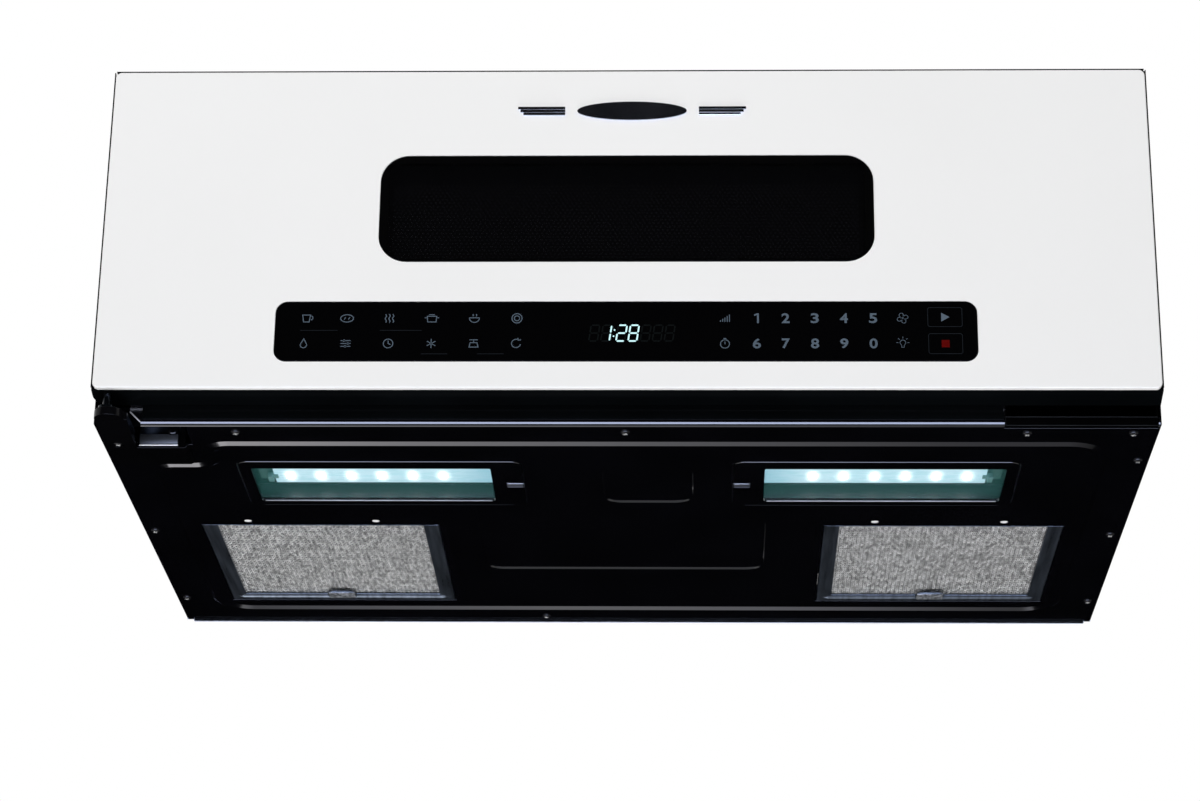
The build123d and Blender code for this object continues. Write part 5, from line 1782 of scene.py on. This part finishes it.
@dataclass
class ControlStrip:
    """Touch legends on the control glass, and the time shown in its middle.

    All sizes are in millimetres. The places of signs are X values, those of lines and boxes X and Z.

    Attributes:
        upper: Z of the upper row.
        lower: Z of the lower row.
        face: Y of the prints' front.
        digit: width and height of a printed digit.
        digit_places: X of the five columns of digits.
        fine_line: width of the lines of the fan and the lamp.
        print_thick: thickness of the prints.
        clock_middle: Z of the time's middle.
        clock_places: X of each place of the time, with what it shows.
        colon: X of the colon's middle.
        segment: half width, half height and half thickness of a lit digit's lines.
        slant: sideways lean of the time over its height.
    """

    UPPER_SIGNS = (
        (-227.4, Sign.CUP), (-198.7, Sign.OVAL), (-168.3, Sign.STEAM), (-137.9, Sign.POT),
        (-107.5, Sign.BOWL), (-77.1, Sign.PLATE), (71.1, Sign.POWER),
    )
    LOWER_SIGNS = (
        (-229.0, Sign.DROP), (-199.0, Sign.SLIDERS), (-168.6, Sign.CLOCK), (-137.9, Sign.FLAKE),
        (-107.6, Sign.SCALE), (-77.4, Sign.RETURN), (71.1, Sign.TIMER),
    )
    FAN_X = 197.2
    BULB_X = 197.0
    START_BOX = ((227.2, 74.5), (24.3, 14.7))
    START_SIGN = ((224.6, 71.1), (230.4, 74.5), (224.6, 77.9))
    STOP_BOX = ((227.2, 54.0), (23.9, 15.4))
    STOP_SIGN = ((224.4, 51.2), (230.0, 51.2), (230.0, 56.8), (224.4, 56.8))
    BOX_CUT = 1.0
    BOX_LINE = 0.4
    RULES = (
        ((-232.0, 64.4), (-205.0, 64.4)),
        ((-175.0, 64.4), (-145.0, 64.4)),
        ((-145.0, 46.2), (-126.0, 46.2)),
        ((-105.0, 46.2), (-86.0, 46.2)),
    )
    RULE_LINE = 0.35
    LIT = {"1": "bc", "2": "abged", "8": "abcdefg", " ": ""}
    SEGMENT_GAP = 0.35
    COLON_RISE = 2.4
    COLON_DOT = 0.6

    upper: float = 73.7
    lower: float = 54.2
    face: float = -466.86
    digit: Span = (5.7, 7.6)
    digit_places: tuple[float, ...] = (93.7, 114.2, 134.9, 155.6, 176.3)
    fine_line: float = 0.36
    print_thick: float = 0.05
    clock_middle: float = 62.2
    clock_places: tuple[tuple[float, str], ...] = (
        (-21.8, " "), (-13.3, "1"), (-2.4, "2"), (6.2, "8"), (14.8, " "), (23.3, " "), (31.8, " ")
    )
    colon: float = -7.75
    segment: Point = (3.05, 6.1, 0.56)
    slant: float = 0.14

    def build(self) -> None:
        """Make and dress every piece."""
        self._legends()
        self._time()

    def _legends(self) -> None:
        """Print the pictograms, digits and framed boxes."""
        sheet = Sheet(self.face, self.print_thick)
        signs = Pictograms(sheet)
        for row, places in ((self.upper, self.UPPER_SIGNS), (self.lower, self.LOWER_SIGNS)):
            for x, sign in places:
                signs.draw(sign, (x, row))
        signs.line = self.fine_line
        signs.draw(Sign.FAN, (self.FAN_X, self.upper))
        signs.draw(Sign.BULB, (self.BULB_X, self.lower))
        for x, high, low in zip(self.digit_places, "12345", "67890"):
            if high == "1":
                self._one(sheet, x)
            else:
                sheet.word(high, (x, self.upper), self.digit, "legend_ink")
            sheet.word(low, (x, self.lower), self.digit, "legend_ink")
        self._box(sheet, *self.START_BOX)
        sheet.plate(self.START_SIGN, "legend_ink")
        self._box(sheet, *self.STOP_BOX)
        sheet.plate(self.STOP_SIGN, "red_ink")
        for rule in self.RULES:
            sheet.ribbon(rule, self.RULE_LINE, "faint_ink")
        sheet.finish("touch_legends", "door", "white_plastic")

    def _one(self, sheet: Sheet, x: float) -> None:
        """Print the digit 1: a stem with a short flag, narrower than the other digits."""
        low, high = self.upper - self.digit[1] / 2, self.upper + self.digit[1] / 2
        sheet.plate([(x + 0.2, low), (x + 1.5, low), (x + 1.5, high), (x + 0.2, high)], "legend_ink")
        flag = [(x + 0.2, high), (x - 1.8, high - 0.9), (x - 1.8, high - 2.1), (x + 0.2, high - 1.3)]
        sheet.plate(flag, "legend_ink")

    def _box(self, sheet: Sheet, middle: Spot, size: Span) -> None:
        """Print a frame with clipped corners."""
        x, z = size[0] / 2, size[1] / 2
        cut = self.BOX_CUT
        corners = [(-x + cut, -z), (x - cut, -z), (x, -z + cut), (x, z - cut)]
        corners += [(x - cut, z), (-x + cut, z), (-x, z - cut), (-x, -z + cut)]
        line = [(middle[0] + a, middle[1] + b) for a, b in corners]
        sheet.ribbon(line, self.BOX_LINE, "faint_ink", True)

    def _time(self) -> None:
        """Make the slanted seven segment digits, lit where they show the time."""
        sheet = Sheet(self.face, self.print_thick)
        for x, digit in self.clock_places:
            for segment in "abcdefg":
                finish = "lit_segment" if segment in self.LIT[digit] else "unlit_segment"
                self._segment(sheet, x, segment, finish)
        for rise in (-self.COLON_RISE, self.COLON_RISE):
            middle = (self.colon + rise * self.slant, self.clock_middle + rise)
            sheet.disc(middle, self.COLON_DOT, "lit_segment")
        sheet.finish("time_segments", "door", "black_plastic")

    def _segment(self, sheet: Sheet, x: float, segment: str, finish: str) -> None:
        """Add one segment of a digit.

        Args:
            sheet: sheet that it is drawn on.
            x: middle of the digit in millimetres.
            segment: letter of the segment.
            finish: name of its finish.
        """
        half, tall, wide = self.segment
        ends = {
            "a": ((-half, tall), (half, tall)),
            "g": ((-half, 0.0), (half, 0.0)),
            "d": ((-half, -tall), (half, -tall)),
            "f": ((-half, tall), (-half, 0.0)),
            "b": ((half, tall), (half, 0.0)),
            "e": ((-half, 0.0), (-half, -tall)),
            "c": ((half, 0.0), (half, -tall)),
        }
        start, stop = (Vector(point) for point in ends[segment])
        along = (stop - start).normalized()
        across = Vector((-along.y, along.x)) * wide
        start, stop = start + along * self.SEGMENT_GAP, stop - along * self.SEGMENT_GAP
        shape = [
            start,
            start + along * wide + across,
            stop - along * wide + across,
            stop,
            stop - along * wide - across,
            start + along * wide - across,
        ]
        sheet.plate([(x + p.x + self.slant * p.y, self.clock_middle + p.y) for p in shape], finish)


class DotField(Sprout):
    """Staggered rows of flat dots."""

    THICK = 0.00006

    def __init__(self) -> None:
        """Build the tree."""
        super().__init__("dot_field")
        columns = self.given("Columns", "Int")
        rows = self.given("Rows", "Int")
        across = self.given("Across", "Float")
        up = self.given("Up", "Float")
        radius = self.given("Radius", "Float")
        corner = self.given("Corner", "Vector")
        lean = self.given("Lean", "Vector")
        dot = self.node(
            "GeometryNodeMeshCylinder",
            {"fill_type": "NGON"},
            {"Vertices": 8, "Radius": radius, "Depth": self.THICK},
        )
        line = self.node(
            "GeometryNodeMeshLine", {"mode": "OFFSET"}, {"Count": columns, "Offset": self.vector(x=across)}
        )
        row = self.node(
            "GeometryNodeInstanceOnPoints", None, {"Points": line, "Instance": dot, "Rotation": lean}
        )
        column = self.node(
            "GeometryNodeMeshLine",
            {"mode": "OFFSET"},
            {"Count": rows, "Start Location": corner, "Offset": self.vector(z=up)},
        )
        parity = self.maths("MODULO", self.node("GeometryNodeInputIndex"), 2.0)
        shift = self.maths("MULTIPLY", parity, self.maths("MULTIPLY", across, 0.5))
        staggered = self.node(
            "GeometryNodeSetPosition", None, {"Geometry": column, "Offset": self.vector(x=shift)}
        )
        self.close(self.node("GeometryNodeInstanceOnPoints", None, {"Points": staggered, "Instance": row}))


@dataclass
class DoorFront:
    """White panel, black window and control glass, the dotted screen and the badge place.

    All sizes are in millimetres.

    Attributes:
        columns: dots in a row.
        rows: rows of dots.
        dots_left: X of the first dot.
        dots_face: Y of the dots.
        dots_low: Z of the lowest row.
        across: distance between dots in a row.
        up: distance between rows.
        dot: radius of a dot.
        top_seam: box of the dark seam above the white panel.
        side_seam: box of the dark seam at its right, mirrored for the left.
    """

    columns: int = 102
    rows: int = 22
    dots_left: float = -168.0
    dots_face: float = -463.7
    dots_low: float = 123.0
    across: float = 3.3
    up: float = 2.7
    dot: float = 0.85
    top_seam: Box = ((-378.0, 378.0), (-466.6, -463.15), (272.25, 272.95))
    side_seam: Box = ((378.75, 379.4), (-466.2, -463.15), (21.0, 272.2))

    def build(self) -> None:
        """Make and dress every piece."""
        carry("door_panel", Coat("white_enamel", "white_paint", 0.0, 30.0))
        carry("window_glass", Coat("window_glass", "black_glass"))
        carry("control_glass", Coat("control_glass", "black_glass"))
        carry("badge_trim", Coat("bright_chrome", "chrome", 0.0, 30.0))
        values = {
            "Columns": self.columns,
            "Rows": self.rows,
            "Across": self.across * MM,
            "Up": self.up * MM,
            "Radius": self.dot * MM,
            "Corner": (self.dots_left * MM, self.dots_face * MM, self.dots_low * MM),
            "Lean": Way.BACK.value,
            "Finish": FINISHES["screen_dot"],
        }
        dots = DotField().grow("window_dots", values)
        dress(dots, "", "door", "black_glass")
        top = Blocks().block(*self.top_seam)
        sides = Blocks().block(*self.side_seam, -1).block(*self.side_seam)
        for name, seams in (("door_top_seam", top), ("door_side_seams", sides)):
            dress(seams.finish(name, 0.1), "door_edge_enamel", "door", "black_paint")


# --------------------------------------------------------------------------- groups of carried pieces


class Trade(Enum):
    """How each group of pieces that keep their own shape is dressed."""

    DOOR = {
        "door_frame": Coat("door_edge_enamel", "black_paint", 0.2),
        "door_screen": Coat("screen_black", "black_paint"),
        "door_choke": Coat("zinc_steel", "zinc_steel", 0.2),
        "inner_window": Coat("inner_pane", "clear_glass", 0.3),
        "door_back": Coat("black_plastic", "black_plastic", 0.4),
        "touch_board": Coat("circuit_board", "circuit_board"),
        "display_module": Coat("black_plastic", "black_plastic", 0.3),
        "latch_key": Coat("white_plastic", "white_plastic", 0.25),
        "latch_spring": Coat("zinc_steel", "zinc_steel", 0.0, 50.0),
    }
    SHELL = {
        "outer_wrap": Coat("black_enamel", "black_paint", 0.2),
        "rear_panel": Coat("plain_steel", "zinc_steel", 0.2),
        "front_frame": Coat("door_edge_enamel", "black_paint", 0.2),
        "upper_hinge": Coat("zinc_steel", "zinc_steel", 0.25),
        "vent_grille": Coat("black_plastic", "black_plastic", 0.3),
        "charcoal_filter": Coat("charcoal_grain", "charcoal", 0.6),
        "exhaust_adapter": Coat("plain_steel", "zinc_steel", 0.2),
        "damper_flap": Coat("plain_steel", "zinc_steel", 0.15),
        "cord_gland": Coat("black_plastic", "black_plastic", 0.5),
    }
    OVEN = {
        "oven_cavity": Coat("cavity_paint", "cavity_paint"),
        "waveguide_cover": Coat("mica_sheet", "mica"),
        "glass_tray": Coat("tray_glass", "clear_glass", 0.5),
        "roller_ring": Coat("black_plastic", "black_plastic", 0.4),
        "roller_wheel_1": Coat("white_plastic", "white_plastic"),
        "roller_wheel_2": Coat("white_plastic", "white_plastic"),
        "roller_wheel_3": Coat("white_plastic", "white_plastic"),
        "drive_coupler": Coat("white_plastic", "white_plastic", 0.3),
        "turntable_motor": Coat("zinc_steel", "zinc_steel", 0.3),
        "cavity_lamp": Coat("white_plastic", "white_plastic", 0.3),
    }
    GENERATOR = {
        "waveguide": Coat("zinc_steel", "zinc_steel"),
        "magnetron": Coat("zinc_steel", "zinc_steel"),
        "transformer": Coat("varnished_core", "dark_steel", 0.4),
        "capacitor": Coat("rim_aluminium", "aluminium_frame", 0.6),
        "power_board": Coat("circuit_board", "circuit_board", 0.2),
        "fan_motor": Coat("motor_steel", "white_plastic", 0.3),
        "fan_blade": Coat("white_plastic", "white_plastic", 0.2),
        "latch_board": Coat("white_plastic", "white_plastic", 0.3),
        "interlock_switches": Coat("black_plastic", "black_plastic", 0.3),
        "switch_plungers": Coat("white_plastic", "white_plastic"),
    }
    EXTRACTION = {
        "blower_housing": Coat("black_plastic", "black_plastic"),
        "blower_motor": Coat("motor_steel", "zinc_steel"),
        "blower_wheels": Coat("black_plastic", "black_plastic"),
    }

    def build(self) -> None:
        """Carry every piece of the group."""
        LOG.info("group %s", self.name.lower())
        for node, coat in self.value.items():
            carry(node, coat)


@dataclass
class ShellScrews:
    """Screws that hold the wrap to the rear panel. All sizes are in millimetres.

    Attributes:
        seat: Y of the heads' seats, which keeps the heads within the wall face.
        head: head of a screw.
        sides: X of both upright rows.
        heights: Z of the screws in an upright row.
        tops: X of the screws under the top edge.
        top: Z of those screws.
    """

    seat: float = -1.3
    head: CrossHead = CrossHead(3.2, 1.2)
    sides: Span = (-368.0, 368.0)
    heights: tuple[float, ...] = (20.0, 140.0, 258.0)
    tops: tuple[float, ...] = (-240.0, 0.0, 240.0)
    top: float = 266.0

    def build(self) -> None:
        """Make and dress every piece."""
        spots = [(x, self.seat, z) for x in self.sides for z in self.heights]
        spots += [(x, self.seat, self.top) for x in self.tops]
        rear = SCATTER.place("rear_screws", self.head.shape(), spots, Way.BACK, "zinc_steel")
        dress(rear, "", "cabinet", "zinc_steel")


# --------------------------------------------------------------------------- studio


@dataclass(frozen=True)
class Card:
    """A long card that shows in reflections only, bent round the object's lower front edge.

    Attributes:
        name: name of the card.
        start: angle of its first edge in degrees, from straight ahead of the front, downwards.
        stop: angle of its last edge in degrees.
        strength: brightness, or 0 for a black card.
        colours: linear colour of its light at shares of its width from the left.
        half: half of its width in metres.
        reach: distance in metres from the axis that the cards are bent round.
        axis: Y of that axis in metres; its Z is 0.
        steps: flat strips that make the bend.
    """

    name: str
    start: float
    stop: float
    strength: float = 0.0
    colours: tuple[tuple[float, Colour], ...] = ((0.0, (0.0, 0.0, 0.0)),)
    half: float = 4.5
    reach: float = 2.2
    axis: float = -0.44
    steps: int = 6

    def stand(self) -> None:
        """Make the card."""
        work = bmesh.new()
        rows = []
        for step in range(self.steps + 1):
            angle = math.radians(self.start + (self.stop - self.start) * step / self.steps)
            y = self.axis - self.reach * math.cos(angle)
            z = -self.reach * math.sin(angle)
            rows.append([work.verts.new((x, y, z)) for x in (-self.half, self.half)])
        for low, high in zip(rows, rows[1:]):
            work.faces.new((low[0], low[1], high[1], high[0]))
        card = link(self.name, settle(work, self.name))
        graph = Graph(self.name)
        across, _, _ = graph.axes()
        share = (across + self.half) / (2 * self.half)
        light = graph.node("ShaderNodeValToRGB", {"stops": self.colours}, {0: share})
        uneven = graph.noise(0.8, 1.0)
        card.data.materials.append(graph.finish(
            Base_Color=graph.mix(uneven, (0.001, 0.001, 0.001), (0.0012, 0.0012, 0.0012)),
            Roughness=0.9 + 0.05 * uneven,
            Specular_IOR_Level=0.0,
            Emission_Color=light,
            Emission_Strength=self.strength,
        ))
        card.visible_camera = False
        card.visible_diffuse = False
        card.visible_shadow = False
        card.visible_transmission = False


@dataclass
class Studio:
    """Camera, lights, floor and surroundings.

    Attributes:
        place: the camera's place in metres.
        yaw: its turn about the vertical in degrees.
        pitch: its tilt up in degrees.
        roll: its roll in degrees.
        lens: focal length in millimetres.
        sensor: width of the sensor in millimetres.
        floor: Z of the floor in metres.
        soft: strength of the surroundings' light on matt surfaces, where white is 1.
    """

    LAMPS = (
        ("front_light", (-0.3, -3.4, 1.9), (0.0, -0.45, 0.15), 2.6, 44.0),
        ("side_light", (-3.2, -1.6, 0.6), (-0.2, -0.3, 0.1), 1.6, 12.0),
        ("low_light", (0.1, -0.9, -3.3), (0.0, -0.2, 0.0), 1.4, 50.0),
    )
    CARDS = (
        Card("rear_dark_card", 126.0, 205.0),
        Card("front_dark_card", -44.0, 2.0),
        Card("edge_light_card", 2.0, 46.0, 12.0, (
            (0.0, (0.66, 0.72, 1.0)),
            (1.0, (0.6, 0.7, 1.0)),
        ), 1.6),
        Card("gap_dark_card", 46.0, 62.0),
        Card("between_dim_card", 62.0, 98.0, 0.6, (
            (0.0, (0.9, 0.95, 1.0)),
            (1.0, (0.9, 0.95, 1.0)),
        ), 1.6),
        Card("bead_light_card", 98.0, 116.0, 5.0, (
            (0.0, (1.0, 1.0, 1.03)),
            (0.27, (0.95, 0.93, 0.97)),
            (0.38, (0.5, 0.49, 0.52)),
            (0.5, (0.26, 0.26, 0.28)),
            (0.6, (0.14, 0.14, 0.15)),
            (0.65, (0.09, 0.09, 0.1)),
            (1.0, (0.02, 0.02, 0.02)),
        ), 1.5),
        Card("rear_bead_light_card", 116.0, 126.0, 1.6, (
            (0.0, (0.05, 0.05, 0.05)),
            (0.26, (0.2, 0.2, 0.22)),
            (0.33, (0.55, 0.56, 0.62)),
            (0.46, (0.95, 0.95, 1.0)),
            (0.56, (0.8, 0.8, 0.9)),
            (0.66, (0.3, 0.3, 0.32)),
            (1.0, (0.05, 0.05, 0.05)),
        ), 1.5),
    )

    place: Point = (0.055495, -2.52958, -0.82482)
    yaw: float = -2.0148
    pitch: float = 22.0327
    roll: float = 0.7794
    lens: float = 94.73
    sensor: float = 36.0
    floor: float = -4.2
    soft: float = 0.62

    def build(self) -> None:
        """Set up everything round the object."""
        self._camera()
        self._surroundings()
        self._floor()
        self._lights()
        self._cards()

    def _camera(self) -> None:
        """Place the camera."""
        yaw, pitch, roll = (math.radians(angle) for angle in (self.yaw, self.pitch, self.roll))
        forward = Vector((
            math.sin(yaw) * math.cos(pitch),
            math.cos(yaw) * math.cos(pitch),
            math.sin(pitch),
        ))
        level = Vector((math.cos(yaw), -math.sin(yaw), 0.0))
        raised = level.cross(forward)
        right = level * math.cos(roll) + raised * math.sin(roll)
        up = raised * math.cos(roll) - level * math.sin(roll)
        data = bpy.data.cameras.new("view")
        data.lens = self.lens
        data.sensor_width = self.sensor
        data.sensor_fit = "HORIZONTAL"
        data.clip_end = 60.0
        camera = link("view", data)
        turn = Matrix((right, up, -forward)).transposed().to_4x4()
        camera.matrix_world = Matrix.Translation(Vector(self.place)) @ turn
        bpy.context.scene.camera = camera

    def _surroundings(self) -> None:
        """White to the camera and in reflections, and a softer light on matt surfaces."""
        world = bpy.data.worlds.new("surroundings")
        bpy.context.scene.world = world
        world.use_nodes = True
        tree = world.node_tree
        tree.nodes.clear()
        path = tree.nodes.new("ShaderNodeLightPath")
        seen = path.outputs["Is Camera Ray"]
        for ray in ("Is Transmission Ray", "Is Glossy Ray"):
            either = tree.nodes.new("ShaderNodeMath")
            either.operation = "MAXIMUM"
            tree.links.new(seen, either.inputs[0])
            tree.links.new(path.outputs[ray], either.inputs[1])
            seen = either.outputs[0]
        mix = tree.nodes.new("ShaderNodeMixShader")
        tree.links.new(seen, mix.inputs["Fac"])
        for socket, strength in ((1, self.soft), (2, 1.0)):
            light = tree.nodes.new("ShaderNodeBackground")
            light.inputs["Color"].default_value = (1.0, 1.0, 1.0, 1.0)
            light.inputs["Strength"].default_value = strength
            tree.links.new(light.outputs[0], mix.inputs[socket])
        out = tree.nodes.new("ShaderNodeOutputWorld")
        tree.links.new(mix.outputs[0], out.inputs["Surface"])

    def _floor(self) -> None:
        """Lay the pale floor, far below the wall cabinet that carries the object."""
        work = bmesh.new()
        bmesh.ops.create_circle(work, cap_ends=True, segments=64, radius=14.0)
        for vertex in work.verts:
            vertex.co.z = self.floor
        floor = link("studio_floor", settle(work, "studio_floor"))
        graph = Graph("pale_floor")
        speckle = graph.noise(3.0, 4.0)
        colour = graph.mix(speckle, (0.9, 0.9, 0.9), (0.93, 0.93, 0.93))
        lit = graph.node("ShaderNodeBsdfPrincipled", None, {"Base Color": colour, "Roughness": 0.75})
        paler = graph.mix(speckle, (1.0, 1.0, 1.0), (0.98, 0.98, 0.98))
        white = graph.node("ShaderNodeEmission", None, {"Color": paler})
        seen = graph.node("ShaderNodeLightPath", output="Is Camera Ray")
        both = graph.node("ShaderNodeMixShader", None, {0: seen * 0.8, 1: lit, 2: white})
        floor.data.materials.append(graph.end(both))

    def _lights(self) -> None:
        """Hang the soft round lights: name, place, aim, diameter and power of each."""
        for name, place, aim, size, power in self.LAMPS:
            data = bpy.data.lights.new(name, "AREA")
            data.shape = "DISK"
            data.size = size
            data.energy = power
            light = link(name, data)
            light.location = place
            light.rotation_euler = (Vector(aim) - Vector(place)).to_track_quat("-Z", "Y").to_euler()
            light.visible_glossy = False

    def _cards(self) -> None:
        """Stand the cards that only reflections see, dark and bright, as round a photographer's table."""
        for card in self.CARDS:
            card.stand()


def main() -> None:
    """Build the object and its studio."""
    logging.basicConfig(level=logging.INFO, format="%(message)s")
    for part in (
        Studio(),
        Underside(),
        Lamps(),
        GreaseFilters(),
        DoorFront(),
        ControlStrip(),
        *Trade,
        ShellScrews(),
    ):
        part.build()
    bpy.context.scene.view_settings.view_transform = "Standard"
    bpy.context.view_layer.update()


if __name__ == "__main__":
    main()
